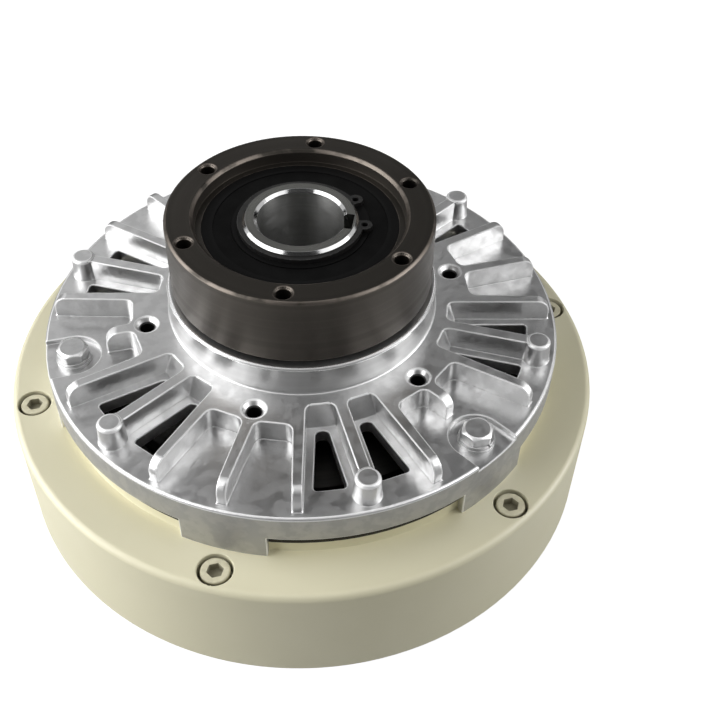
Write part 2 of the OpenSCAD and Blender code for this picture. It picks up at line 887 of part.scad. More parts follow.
// Flat spot around a cover bolt, open toward the rim
module bolt_spot() {
    z0 = rim_h - spot_depth;
    translate([cover_bolt_r, 0, 0]) {
        rod(spot_r, z0, rib_top_h + cut);
        translate([0, -spot_r, z0])
            cube([cover_r - cover_bolt_r + 2 * cut, 2 * spot_r, rib_h + spot_depth + cut]);
    }
}

module cover() {
    difference() {
        union() {
            difference() {
                cover_blank();
                pockets();
                around(sector_n / 2, sector)
                    short_rib_round();
            }
            around(sector_n, sector / 2)
                post();
        }
        around(sector_n)
            foot_gap_cut();
        around(sector_n, sector / 2)
            both_sides()
                translate([0, 0, floor_under_h - cut])
                    linear_extrude(height = floor_t + 2 * cut)
                        window_outline();
        around(sector_n / 2, sector) {
            bolt_spot();
            translate([cover_bolt_r, 0, 0])
                rod(cover_bolt_d / 2 + hole_clear, -cut, rim_h);
        }
        around(sector_n)
            translate([mount_ring_r, 0, rib_top_h])
                tapped_hole(mount_d, mount_depth, mount_sink);
        rod(boss_opening_r, cover_h - boss_lip_t - cut, cover_h + cut);
        rod(main_out_r, floor_under_h - cut, cover_h - boss_lip_t);
        ring(main_out_r + retainer_groove, main_out_r - cut,
             cover_h - boss_lip_t - main_w - retainer_t, cover_h - boss_lip_t - main_w);
    }
}

module front_cover() {
    color([0.72, 0.72, 0.72])
        translate([0, 0, z_yoke_front])
            cover();
}

module rear_cover() {
    color([0.72, 0.72, 0.72])
        to_rear()
            translate([0, 0, z_yoke_front])
                cover();
}

module at_cover_bolts(h) {
    around(sector_n / 2, sector)
        translate([cover_bolt_r, 0, z_yoke_front + rim_h - spot_depth + h])
            children();
}

module cover_bolts() {
    at_cover_bolts(washer_t + spring_washer_t)
        hex_bolt(cover_bolt_d, cover_bolt_len, hex_across, hex_head_h);
}

module spring_washers() {
    at_cover_bolts(washer_t)
        spring_washer(spring_washer_d, cover_bolt_d + 0.2, spring_washer_t);
}

module flat_washers() {
    at_cover_bolts(0)
        ring(washer_d / 2, cover_bolt_d / 2 + 0.2, 0, washer_t);
}

module front_cover_bolts() {
    color([0.70, 0.70, 0.70]) cover_bolts();
}

module rear_cover_bolts() {
    color([0.70, 0.70, 0.70]) to_rear() cover_bolts();
}

module front_spring_washers() {
    color([0.60, 0.60, 0.60]) spring_washers();
}

module rear_spring_washers() {
    color([0.60, 0.60, 0.60]) to_rear() spring_washers();
}

module front_flat_washers() {
    color([0.66, 0.66, 0.66]) flat_washers();
}

module rear_flat_washers() {
    color([0.66, 0.66, 0.66]) to_rear() flat_washers();
}

// Large bearings between the covers and the drive rotor

module front_main_outer_race() {
    color("silver")
        translate([0, 0, z_main])
            outer_race(main_in_r, main_out_r, main_w, main_ball_d);
}

module rear_main_outer_race() {
    color("silver")
        translate([0, 0, z_rear_main])
            outer_race(main_in_r, main_out_r, main_w, main_ball_d);
}

module front_main_inner_race() {
    color("silver")
        translate([0, 0, z_main])
            inner_race(main_in_r, main_out_r, main_w, main_ball_d);
}

module rear_main_inner_race() {
    color("silver")
        translate([0, 0, z_rear_main])
            inner_race(main_in_r, main_out_r, main_w, main_ball_d);
}

module front_main_balls() {
    color("gainsboro")
        translate([0, 0, z_main])
            balls(main_in_r, main_out_r, main_w, main_ball_d, main_ball_n);
}

module rear_main_balls() {
    color("gainsboro")
        translate([0, 0, z_rear_main])
            balls(main_in_r, main_out_r, main_w, main_ball_d, main_ball_n);
}

module front_main_cage() {
    color("goldenrod")
        translate([0, 0, z_main])
            cage(main_in_r, main_out_r, main_w, main_ball_d, main_ball_n);
}

module rear_main_cage() {
    color("goldenrod")
        translate([0, 0, z_rear_main])
            cage(main_in_r, main_out_r, main_w, main_ball_d, main_ball_n);
}

module front_main_seals() {
    color([0.12, 0.12, 0.12])
        translate([0, 0, z_main])
            bearing_seals(main_in_r, main_out_r, main_w);
}

module rear_main_seals() {
    color([0.12, 0.12, 0.12])
        translate([0, 0, z_rear_main])
            bearing_seals(main_in_r, main_out_r, main_w);
}

module front_main_retainer() {
    color([0.30, 0.30, 0.30])
        translate([0, 0, z_main - retainer_t])
            bore_circlip(main_out_r + retainer_groove, retainer_ring_w, retainer_t);
}

module rear_main_retainer() {
    color([0.30, 0.30, 0.30])
        to_rear()
            translate([0, 0, z_main - retainer_t])
                bore_circlip(main_out_r + retainer_groove, retainer_ring_w, retainer_t);
}

// Drive rotor

module drive_flange() {
    top_chamfer = 0.8;
    recess_chamfer = 1;
    screw_end = z_neck - flange_screw_under_t + flange_screw_len;
    color([0.28, 0.26, 0.24])
        difference() {
            rotate_extrude()
                polygon([
                    [neck_in_r, z_neck], [main_in_r, z_neck], [main_in_r, z_main_top],
                    [hub_r, z_main_top], [hub_r, z_flange],
                    [flange_r - edge_chamfer, z_flange], [flange_r, z_flange + edge_chamfer],
                    [flange_r, z_flange_top - top_chamfer], [flange_r - top_chamfer, z_flange_top],
                    [recess_r + recess_chamfer, z_flange_top],
                    [recess_r, z_flange_top - recess_chamfer],
                    [recess_r, z_shaft_bearing_top], [shaft_bearing_r, z_shaft_bearing_top],
                    [shaft_bearing_r, z_shaft_bearing], [neck_in_r, z_shaft_bearing]]);
            around(flange_hole_n, flange_turn)
                translate([flange_hole_ring_r, 0, z_flange_top])
                    tapped_hole(flange_hole_d, flange_hole_depth, flange_hole_sink);
            around(inner_screw_n, flange_turn)
                translate([flange_screw_r, 0, 0])
                    rod(flange_screw_d / 2, z_neck - cut, screw_end + drill_room);
        }
}

module front_end_plate() {
    head_z = z_neck - flange_screw_under_t;
    color([0.45, 0.45, 0.45])
        difference() {
            rotate_extrude()
                polygon([
                    [plate_bore_r, z_drum_top], [drum_r, z_drum_top],
                    [drum_r, z_drum_top + end_plate_t], [hub_r, z_drum_top + end_plate_t],
                    [hub_r, z_main], [main_in_r, z_main], [main_in_r, z_neck],
                    [plate_bore_r, z_neck]]);
            around(inner_screw_n, flange_turn)
                translate([flange_screw_r, 0, 0]) {
                    rod(flange_screw_d / 2 + hole_clear, z_drum_top - cut, z_neck + cut);
                    rod(flange_screw_head_d / 2 + hole_clear, z_drum_top - cut, head_z);
                }
            drum_screw_cuts(z_drum_top + end_plate_t, 1);
        }
}

module drum_screw_cuts(z, side) {
    around(inner_screw_n, flange_turn)
        translate([drum_screw_r, 0, z])
            facing(side) {
                rod(drum_screw_d / 2, -drum_screw_len - drill_room, cut);
                translate([0, 0, -drum_screw_head_h])
                    cylinder(r1 = drum_screw_d / 2, r2 = drum_screw_head_r, h = drum_screw_head_h);
                rod(drum_screw_head_r, 0, cut);
            }
}

module rear_end_plate() {
    shoulder = 2;
    color([0.45, 0.45, 0.45])
        difference() {
            rotate_extrude()
                polygon([
                    [neck_in_r, z_shaft], [main_in_r, z_shaft], [main_in_r, z_rear_main_top],
                    [hub_r, z_rear_main_top], [hub_r, z_rear_bearing],
                    [rear_hub_r, z_rear_bearing + shoulder],
                    [rear_hub_r, z_drum - end_plate_t], [drum_r, z_drum - end_plate_t],
                    [drum_r, z_drum], [shaft_bearing_r, z_drum],
                    [shaft_bearing_r, z_rear_bearing], [neck_in_r, z_rear_bearing]]);
            ring(shaft_bearing_r + retainer_groove, shaft_bearing_r - cut,
                 z_rear_retainer, z_rear_seal);
            drum_screw_cuts(z_drum - end_plate_t, -1);
        }
}

module drum_front_ring() {
    color([0.55, 0.55, 0.57])
        difference() {
            ring(drum_r, drum_in_r, z_mid + drum_isolator_w / 2, z_drum_top);
            drum_screw_cuts(z_drum_top + end_plate_t, 1);
        }
}

module drum_isolating_ring() {
    color([0.78, 0.74, 0.62])
        ring(drum_r, drum_in_r, z_mid - drum_isolator_w / 2, z_mid + drum_isolator_w / 2);
}

module drum_rear_ring() {
    color([0.55, 0.55, 0.57])
        difference() {
            ring(drum_r, drum_in_r, z_drum, z_mid - drum_isolator_w / 2);
            drum_screw_cuts(z_drum - end_plate_t, -1);
        }
}

module flange_screws() {
    color([0.25, 0.25, 0.25])
        around(inner_screw_n, flange_turn)
            translate([flange_screw_r, 0, z_neck - flange_screw_under_t])
                mirror([0, 0, 1])
                    socket_screw(flange_screw_d, flange_screw_len, flange_screw_head_d,
                                 flange_screw_head_h, flange_screw_across);
}

module drum_screws(z, side) {
    around(inner_screw_n, flange_turn)
        translate([drum_screw_r, 0, z])
            facing(side)
                countersunk_screw(drum_screw_d, drum_screw_len, drum_screw_head_r,
                                  drum_screw_head_h, drum_screw_across);
}

module front_drum_screws() {
    color([0.25, 0.25, 0.25]) drum_screws(z_drum_top + end_plate_t, 1);
}

module rear_drum_screws() {
    color([0.25, 0.25, 0.25]) drum_screws(z_drum - end_plate_t, -1);
}

module front_powder_seal() {
    color([0.15, 0.15, 0.15])
        ring(neck_in_r, shaft_r + run_clear, z_neck, z_neck + powder_seal_w);
}

module rear_powder_seal() {
    color([0.15, 0.15, 0.15])
        ring(shaft_bearing_r, shaft_r + run_clear, z_rear_seal, z_drum);
}

module magnetic_powder() {
    color([0.22, 0.21, 0.20])
        ring(drum_in_r, drum_in_r - powder_t, z_mid - powder_w / 2, z_mid + powder_w / 2);
}

// Shaft bearings between the drive rotor and the hollow shaft

module front_shaft_outer_race() {
    color("silver")
        translate([0, 0, z_shaft_bearing])
            outer_race(shaft_r, shaft_bearing_r, shaft_bearing_w, shaft_ball_d);
}

module rear_shaft_outer_race() {
    color("silver")
        translate([0, 0, z_rear_bearing])
            outer_race(shaft_r, shaft_bearing_r, shaft_bearing_w, shaft_ball_d);
}

module front_shaft_inner_race() {
    color("silver")
        translate([0, 0, z_shaft_bearing])
            inner_race(shaft_r, shaft_bearing_r, shaft_bearing_w, shaft_ball_d);
}

module rear_shaft_inner_race() {
    color("silver")
        translate([0, 0, z_rear_bearing])
            inner_race(shaft_r, shaft_bearing_r, shaft_bearing_w, shaft_ball_d);
}

module front_shaft_balls() {
    color("gainsboro")
        translate([0, 0, z_shaft_bearing])
            balls(shaft_r, shaft_bearing_r, shaft_bearing_w, shaft_ball_d, shaft_ball_n);
}

module rear_shaft_balls() {
    color("gainsboro")
        translate([0, 0, z_rear_bearing])
            balls(shaft_r, shaft_bearing_r, shaft_bearing_w, shaft_ball_d, shaft_ball_n);
}

module front_shaft_cage() {
    color("goldenrod")
        translate([0, 0, z_shaft_bearing])
            cage(shaft_r, shaft_bearing_r, shaft_bearing_w, shaft_ball_d, shaft_ball_n);
}

module rear_shaft_cage() {
    color("goldenrod")
        translate([0, 0, z_rear_bearing])
            cage(shaft_r, shaft_bearing_r, shaft_bearing_w, shaft_ball_d, shaft_ball_n);
}

module front_shaft_seals() {
    color([0.08, 0.08, 0.08])
        translate([0, 0, z_shaft_bearing])
            bearing_seals(shaft_r, shaft_bearing_r, shaft_bearing_w);
}

module rear_shaft_seals() {
    color([0.08, 0.08, 0.08])
        translate([0, 0, z_rear_bearing])
            bearing_seals(shaft_r, shaft_bearing_r, shaft_bearing_w);
}

module rear_shaft_retainer() {
    color([0.30, 0.30, 0.30])
        translate([0, 0, z_rear_retainer])
            bore_circlip(shaft_bearing_r + retainer_groove, retainer_ring_w, retainer_t);
}

// Driven rotor

// Heights of the lower faces of the circlips that are hidden inside
hidden_clip_z = [
    z_rear_bearing - circlip_t, z_rear_bearing + shaft_bearing_w,
    z_rotor - circlip_t, z_rotor + rotor_w, z_shaft_bearing - circlip_t];

module hollow_shaft() {
    end_chamfer = 1;
    groove_r = shaft_r - circlip_groove;
    color([0.80, 0.80, 0.80])
        difference() {
            rotate_extrude()
                polygon([
                    [bore_r + end_chamfer, z_shaft], [shaft_r - end_chamfer, z_shaft],
                    [shaft_r, z_shaft + end_chamfer], [shaft_r, z_shaft_top - end_chamfer],
                    [shaft_r - end_chamfer, z_shaft_top], [bore_r + end_chamfer, z_shaft_top],
                    [bore_r, z_shaft_top - end_chamfer], [bore_r, z_shaft + end_chamfer]]);
            rotate([0, 0, keyway_turn])
                translate([0, -keyway_w / 2, z_shaft - cut])
                    cube([bore_r + keyway_depth, keyway_w, z_shaft_top - z_shaft + 2 * cut]);
            for (z = concat(hidden_clip_z, [z_shaft_bearing_top]))
                ring(shaft_r + cut, groove_r, z, z + circlip_t);
            rotate([0, 0, keyway_turn + 180])
                translate([shaft_r - rotor_key_h / 2, -rotor_key_w / 2, z_mid - rotor_key_len / 2])
                    cube([rotor_key_h, rotor_key_w, rotor_key_len]);
        }
}

module rotor_key() {
    color([0.50, 0.50, 0.52])
        rotate([0, 0, keyway_turn + 180])
            translate([shaft_r - rotor_key_h / 2, -rotor_key_w / 2, z_mid - rotor_key_len / 2])
                cube([rotor_key_h, rotor_key_w, rotor_key_len]);
}

module inner_rotor() {
    hub = shaft_r + rotor_hub_t;
    rim_in = rotor_r - rotor_rim_t;
    key_top_clear = 0.2;
    color([0.50, 0.50, 0.52])
        difference() {
            ring(rotor_r, shaft_r, z_rotor, z_rotor + rotor_w);
            ring(rim_in, hub, z_mid + rotor_web_t / 2, z_rotor + rotor_w + cut);
            ring(rim_in, hub, z_rotor - cut, z_mid - rotor_web_t / 2);
            rotate([0, 0, keyway_turn + 180])
                translate([0, -rotor_key_w / 2, z_rotor - cut])
                    cube([shaft_r + rotor_key_h / 2 + key_top_clear, rotor_key_w,
                          rotor_w + 2 * cut]);
        }
}

module front_shaft_circlip() {
    color([0.25, 0.25, 0.25])
        rotate([0, 0, circlip_turn])
            translate([0, 0, z_shaft_bearing_top])
                shaft_circlip(shaft_r - circlip_groove, circlip_t);
}

module shaft_circlips() {
    color([0.25, 0.25, 0.25])
        for (z = hidden_clip_z)
            rotate([0, 0, circlip_turn])
                translate([0, 0, z])
                    shaft_circlip(shaft_r - circlip_groove, circlip_t);
}

yoke_front_half();
yoke_rear_half();
field_coil();
coil_bobbin();
pole_spacer();
lead_grommet();
yoke_screws();
front_cover();
rear_cover();
front_cover_bolts();
rear_cover_bolts();
front_spring_washers();
rear_spring_washers();
front_flat_washers();
rear_flat_washers();
front_main_outer_race();
rear_main_outer_race();
front_main_seals();
rear_main_seals();
front_main_retainer();
rear_main_retainer();
drive_flange();
front_end_plate();
rear_end_plate();
drum_front_ring();
drum_isolating_ring();
drum_rear_ring();
flange_screws();
front_drum_screws();
rear_drum_screws();
front_main_inner_race();
rear_main_inner_race();
front_main_balls();
rear_main_balls();
front_main_cage();
rear_main_cage();
front_shaft_outer_race();
rear_shaft_outer_race();
front_shaft_seals();
rear_shaft_seals();
rear_shaft_retainer();
front_powder_seal();
rear_powder_seal();
magnetic_powder();
hollow_shaft();
inner_rotor();
rotor_key();
front_shaft_circlip();
shaft_circlips();
front_shaft_inner_race();
rear_shaft_inner_race();
front_shaft_balls();
rear_shaft_balls();
front_shaft_cage();
rear_shaft_cage();
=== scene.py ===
"""Looks of a hollow-shaft magnetic powder brake, dressed around its solids."""

import json
import logging
import math
from dataclasses import dataclass, replace
from enum import Enum

import bmesh
import bpy
from mathutils import Matrix, Vector

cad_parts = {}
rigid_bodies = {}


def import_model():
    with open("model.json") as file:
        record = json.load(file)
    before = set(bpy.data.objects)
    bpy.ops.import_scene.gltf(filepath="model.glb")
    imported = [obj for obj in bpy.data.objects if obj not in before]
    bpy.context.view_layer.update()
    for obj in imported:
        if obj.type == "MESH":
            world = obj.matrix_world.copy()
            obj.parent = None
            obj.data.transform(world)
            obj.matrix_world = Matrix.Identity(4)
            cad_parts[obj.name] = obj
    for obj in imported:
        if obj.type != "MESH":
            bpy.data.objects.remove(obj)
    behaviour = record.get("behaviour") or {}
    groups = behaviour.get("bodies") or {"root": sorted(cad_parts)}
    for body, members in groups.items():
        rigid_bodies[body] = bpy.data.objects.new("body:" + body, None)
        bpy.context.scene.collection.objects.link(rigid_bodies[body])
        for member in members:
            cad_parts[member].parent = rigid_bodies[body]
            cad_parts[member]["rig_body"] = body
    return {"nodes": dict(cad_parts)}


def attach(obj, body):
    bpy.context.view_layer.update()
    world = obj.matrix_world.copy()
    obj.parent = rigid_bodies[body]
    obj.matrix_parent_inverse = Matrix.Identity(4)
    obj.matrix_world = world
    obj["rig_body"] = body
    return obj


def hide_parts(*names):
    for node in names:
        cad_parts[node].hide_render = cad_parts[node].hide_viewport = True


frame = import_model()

LOG = logging.getLogger("powder_brake")
MM = 0.001
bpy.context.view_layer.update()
BEVEL_MARK = "edge"  # the layer of a copy's faces that marks its rounded edges
YOKE_MIDDLE = 63 * MM  # height of the joint between the yoke's halves
SLACK = 0.01 * MM  # how far two heights may differ and still be the same
WELD = 0.002 * MM  # corners closer than this are joined
FLAT_TURN = 0.6  # a flat face's edges turn by fewer degrees
SLANTED = (0.3, 0.95)  # how far a chamfer's normal points along the shaft
OUTSIDE = 1.0  # a distance that lies beyond the part, in metres
QUARTER_TURN = 0.25  # from along the shaft to around it, in turns
NORMAL_WEIGHT = 80  # how much more a wide face counts where faces meet

Color = tuple[float, float, float]


class Wiring:
    """Adds and links the nodes of one node tree.

    Args:
        tree: The material's, the world's or the group's node tree.
    """

    def __init__(self, tree: bpy.types.NodeTree) -> None:
        """Keeps the tree that is wired."""
        self.tree = tree

    def add(self, kind: str, **settings: object) -> bpy.types.Node:
        """Adds a node and sets its properties.

        Args:
            kind: Blender's name for the node type.
            settings: The node's properties by name.

        Returns:
            The new node.
        """
        node = self.tree.nodes.new(kind)
        for name, value in settings.items():
            setattr(node, name, value)
        return node

    def join(self, source: bpy.types.NodeSocket, target: bpy.types.NodeSocket) -> None:
        """Links an output to an input."""
        self.tree.links.new(source, target)

    def math(self, operation: str, *values: object) -> bpy.types.NodeSocket:
        """Adds a Math node.

        Args:
            operation: The Math node's operation.
            values: Its inputs in order, each a socket or a number.

        Returns:
            The result's socket.
        """
        node = self.add("ShaderNodeMath", operation=operation)
        for i, value in enumerate(values):
            if isinstance(value, bpy.types.NodeSocket):
                self.join(value, node.inputs[i])
            else:
                node.inputs[i].default_value = value
        return node.outputs[0]

    def spread(self, value: bpy.types.NodeSocket, low: object, high: object,
               start: float = 0.0, end: float = 1.0) -> bpy.types.NodeSocket:
        """Maps a value from the range start..end to the range low..high.

        Args:
            value: The socket to map.
            low: The result at start, a socket or a number.
            high: The result at end, a socket or a number.
            start: Where the result begins to change.
            end: Where it stops.

        Returns:
            The mapped value's socket.
        """
        node = self.add("ShaderNodeMapRange")
        node.inputs["From Min"].default_value = start
        node.inputs["From Max"].default_value = end
        for name, limit in (("To Min", low), ("To Max", high)):
            if isinstance(limit, bpy.types.NodeSocket):
                self.join(limit, node.inputs[name])
            else:
                node.inputs[name].default_value = limit
        self.join(value, node.inputs["Value"])
        return node.outputs["Result"]

    def mix(self, share: bpy.types.NodeSocket, first: object,
            second: object) -> bpy.types.NodeSocket:
        """Mixes two colours.

        Args:
            share: How much of the second colour shows.
            first: A colour's socket or a colour.
            second: A colour's socket or a colour.

        Returns:
            The mixed colour's socket.
        """
        node = self.add("ShaderNodeMix", data_type="RGBA")
        self.join(share, node.inputs["Factor"])
        for name, value in (("A", first), ("B", second)):
            socket = next(s for s in node.inputs if s.name == name and s.type == "RGBA")
            if isinstance(value, bpy.types.NodeSocket):
                self.join(value, socket)
            else:
                socket.default_value = (*value, 1.0)
        return next(s for s in node.outputs if s.type == "RGBA")


class Effect(Enum):
    """The shader node groups that the finishes share."""

    MOTTLE = "mottle"
    GRAIN = "grain"
    TURNING = "turning_marks"
    RUBBING_AND_HIGHLIGHT = "edge_rubbing_and_highlight"
    CORNER_SHADE = "corner_shade"


class Effects:
    """Builds each shared node group once and places it in materials.

    Attributes:
        NOISE_RANGE: Between which values most of a noise lies.
        CONTRAST_GAIN: How far the full contrast spreads the blotches past 0 and 1.
        WIDE_GRAIN: Scale of the grain's wide waves, as a share of the fine one's.
        LINE_DETAIL: How many finer lines lie in each line of the turning.
        STREAKS: Streaks in a metre of a turned surface.
        STREAK_RANGE: Between which values of their noise the streaks change.
        RUBBING_AND_HIGHLIGHT_START: Noise from which an edge shows its wear and painted highlight
            at no amount.
        RUBBING_AND_HIGHLIGHT_GAIN: How far the full amount lowers that start.
        RUBBING_AND_HIGHLIGHT_CONTRAST: How sharply a lighter spot on an edge ends.
        CORNER_SHADE_REACH: How far from a wall the painted shade of inner corners reaches, in
            metres.
        CORNER_SHADE_SAMPLES: Rays that look for the wall.
    """

    NOISE_RANGE = (0.25, 0.75)
    CONTRAST_GAIN = 2.0
    WIDE_GRAIN = 0.12
    LINE_DETAIL = 4.0
    STREAKS = 400.0
    STREAK_RANGE = (0.3, 0.7)
    RUBBING_AND_HIGHLIGHT_START = 0.62
    RUBBING_AND_HIGHLIGHT_GAIN = 0.5
    RUBBING_AND_HIGHLIGHT_CONTRAST = 6.0
    CORNER_SHADE_REACH = 6 * MM
    CORNER_SHADE_SAMPLES = 8

    def __init__(self) -> None:
        """Starts with no group built."""
        self.groups: dict[Effect, bpy.types.NodeTree] = {}

    def place(self, wiring: Wiring, effect: Effect, **values: float) -> bpy.types.Node:
        """Places a group in a material.

        Args:
            wiring: The material's wiring.
            effect: The group to place.
            values: The group's inputs by name.

        Returns:
            The group's node.
        """
        if effect not in self.groups:
            self.groups[effect] = getattr(self, "_" + effect.value)()
        node = wiring.add("ShaderNodeGroup", node_tree=self.groups[effect])
        for name, value in values.items():
            node.inputs[name].default_value = value
        return node

    def _open(self, effect: Effect, inputs: dict[str, float],
              outputs: tuple[str, ...]) -> tuple[Wiring, bpy.types.Node, bpy.types.Node]:
        """Starts a group.

        Args:
            effect: The group's name.
            inputs: Its inputs with their defaults.
            outputs: Its outputs.

        Returns:
            The group's wiring, its input node and its output node.
        """
        tree = bpy.data.node_groups.new(effect.value, "ShaderNodeTree")
        for name, default in inputs.items():
            socket = tree.interface.new_socket(name, in_out="INPUT",
                                               socket_type="NodeSocketFloat")
            socket.default_value = default
        for name in outputs:
            tree.interface.new_socket(name, in_out="OUTPUT", socket_type="NodeSocketFloat")
        wiring = Wiring(tree)
        return wiring, wiring.add("NodeGroupInput"), wiring.add("NodeGroupOutput")

    def _noise(self, wiring: Wiring, scale: bpy.types.NodeSocket,
               detail: float) -> bpy.types.NodeSocket:
        """Adds noise in the piece's own coordinates.

        Args:
            wiring: The group's wiring.
            scale: The noise's scale in marks per metre.
            detail: How many finer layers it has.

        Returns:
            The noise's socket.
        """
        place = wiring.add("ShaderNodeTexCoord")
        noise = wiring.add("ShaderNodeTexNoise")
        noise.inputs["Detail"].default_value = detail
        wiring.join(place.outputs["Object"], noise.inputs["Vector"])
        wiring.join(scale, noise.inputs["Scale"])
        return noise.outputs["Fac"]

    def _mottle(self) -> bpy.types.NodeTree:
        """Soft blotches from 0 to 1, as on castings and stained metal.

        Returns:
            The group's tree.
        """
        wiring, given, result = self._open(
            Effect.MOTTLE, {"Scale": 60.0, "Contrast": 0.5}, ("Mask",))
        broad = self._noise(wiring, given.outputs["Scale"], 3.0)
        contrast = given.outputs["Contrast"]
        low = wiring.math("MULTIPLY_ADD", contrast, -self.CONTRAST_GAIN, 0.5)
        high = wiring.math("MULTIPLY_ADD", contrast, self.CONTRAST_GAIN, 0.5)
        mask = wiring.spread(broad, low, high, *self.NOISE_RANGE)
        wiring.join(wiring.math("MINIMUM", wiring.math("MAXIMUM", mask, 0.0), 1.0),
                    result.inputs["Mask"])
        return wiring.tree

    def _grain(self) -> bpy.types.NodeTree:
        """Fine grain of a cast, blasted or painted skin as a height.

        Returns:
            The group's tree.
        """
        wiring, given, result = self._open(
            Effect.GRAIN, {"Scale": 900.0, "Coarse": 0.3}, ("Height",))
        fine = self._noise(wiring, given.outputs["Scale"], 2.0)
        wide_scale = wiring.math("MULTIPLY", given.outputs["Scale"], self.WIDE_GRAIN)
        wide = self._noise(wiring, wide_scale, 2.0)
        total = wiring.math("MULTIPLY_ADD", wide, given.outputs["Coarse"], fine)
        wiring.join(total, result.inputs["Height"])
        return wiring.tree

    def _turning_marks(self) -> bpy.types.NodeTree:
        """Lines that a lathe leaves around the shaft's axis, on faces and on walls.

        Returns:
            The group's tree.
        """
        wiring, given, result = self._open(
            Effect.TURNING, {"Lines": 2500.0}, ("Height", "Streaks"))
        place = wiring.add("ShaderNodeTexCoord")
        parts = wiring.add("ShaderNodeSeparateXYZ")
        wiring.join(place.outputs["Object"], parts.inputs[0])
        squares = wiring.math("MULTIPLY_ADD", parts.outputs["X"], parts.outputs["X"],
                              wiring.math("MULTIPLY", parts.outputs["Y"], parts.outputs["Y"]))
        along = wiring.math("ADD", wiring.math("SQRT", squares), parts.outputs["Z"])
        noise = wiring.add("ShaderNodeTexNoise", noise_dimensions="1D")
        noise.inputs["Detail"].default_value = self.LINE_DETAIL
        noise.inputs["Scale"].default_value = 1.0
        wiring.join(wiring.math("MULTIPLY", along, given.outputs["Lines"]), noise.inputs["W"])
        wiring.join(noise.outputs["Fac"], result.inputs["Height"])
        broad = wiring.add("ShaderNodeTexNoise", noise_dimensions="1D")
        broad.inputs["Scale"].default_value = 1.0
        wiring.join(wiring.math("MULTIPLY", along, self.STREAKS), broad.inputs["W"])
        wiring.join(wiring.spread(broad.outputs["Fac"], 0.0, 1.0, *self.STREAK_RANGE),
                    result.inputs["Streaks"])
        return wiring.tree

    def _edge_rubbing_and_highlight(self) -> bpy.types.NodeTree:
        """Mask of the rounded edges for their wear and painted highlight, broken up where it
        skips.

        Returns:
            The group's tree.
        """
        wiring, given, result = self._open(
            Effect.RUBBING_AND_HIGHLIGHT, {"Scale": 300.0, "Amount": 0.7}, ("Mask",))
        edge = wiring.add("ShaderNodeAttribute", attribute_name=BEVEL_MARK)
        noise = self._noise(wiring, given.outputs["Scale"], 3.0)
        start = wiring.math("MULTIPLY_ADD", given.outputs["Amount"], -self.RUBBING_AND_HIGHLIGHT_GAIN,
                            self.RUBBING_AND_HIGHLIGHT_START)
        kept = wiring.math("MULTIPLY", wiring.math("SUBTRACT", noise, start),
                           self.RUBBING_AND_HIGHLIGHT_CONTRAST)
        clamped = wiring.math("MINIMUM", wiring.math("MAXIMUM", kept, 0.0), 1.0)
        wiring.join(wiring.math("MULTIPLY", edge.outputs["Fac"], clamped),
                    result.inputs["Mask"])
        return wiring.tree

    def _corner_shade(self) -> bpy.types.NodeTree:
        """Mask of inner corners, which darkens them as painted shade.

        Returns:
            The group's tree.
        """
        wiring, given, result = self._open(Effect.CORNER_SHADE, {"Amount": 1.0}, ("Mask",))
        occlusion = wiring.add("ShaderNodeAmbientOcclusion", samples=self.CORNER_SHADE_SAMPLES)
        occlusion.inputs["Distance"].default_value = self.CORNER_SHADE_REACH
        hidden = wiring.math("SUBTRACT", 1.0, occlusion.outputs["AO"])
        wiring.join(wiring.math("MULTIPLY", hidden, given.outputs["Amount"]),
                    result.inputs["Mask"])
        return wiring.tree


EFFECTS = Effects()
MATERIALS: dict[str, bpy.types.Material] = {}


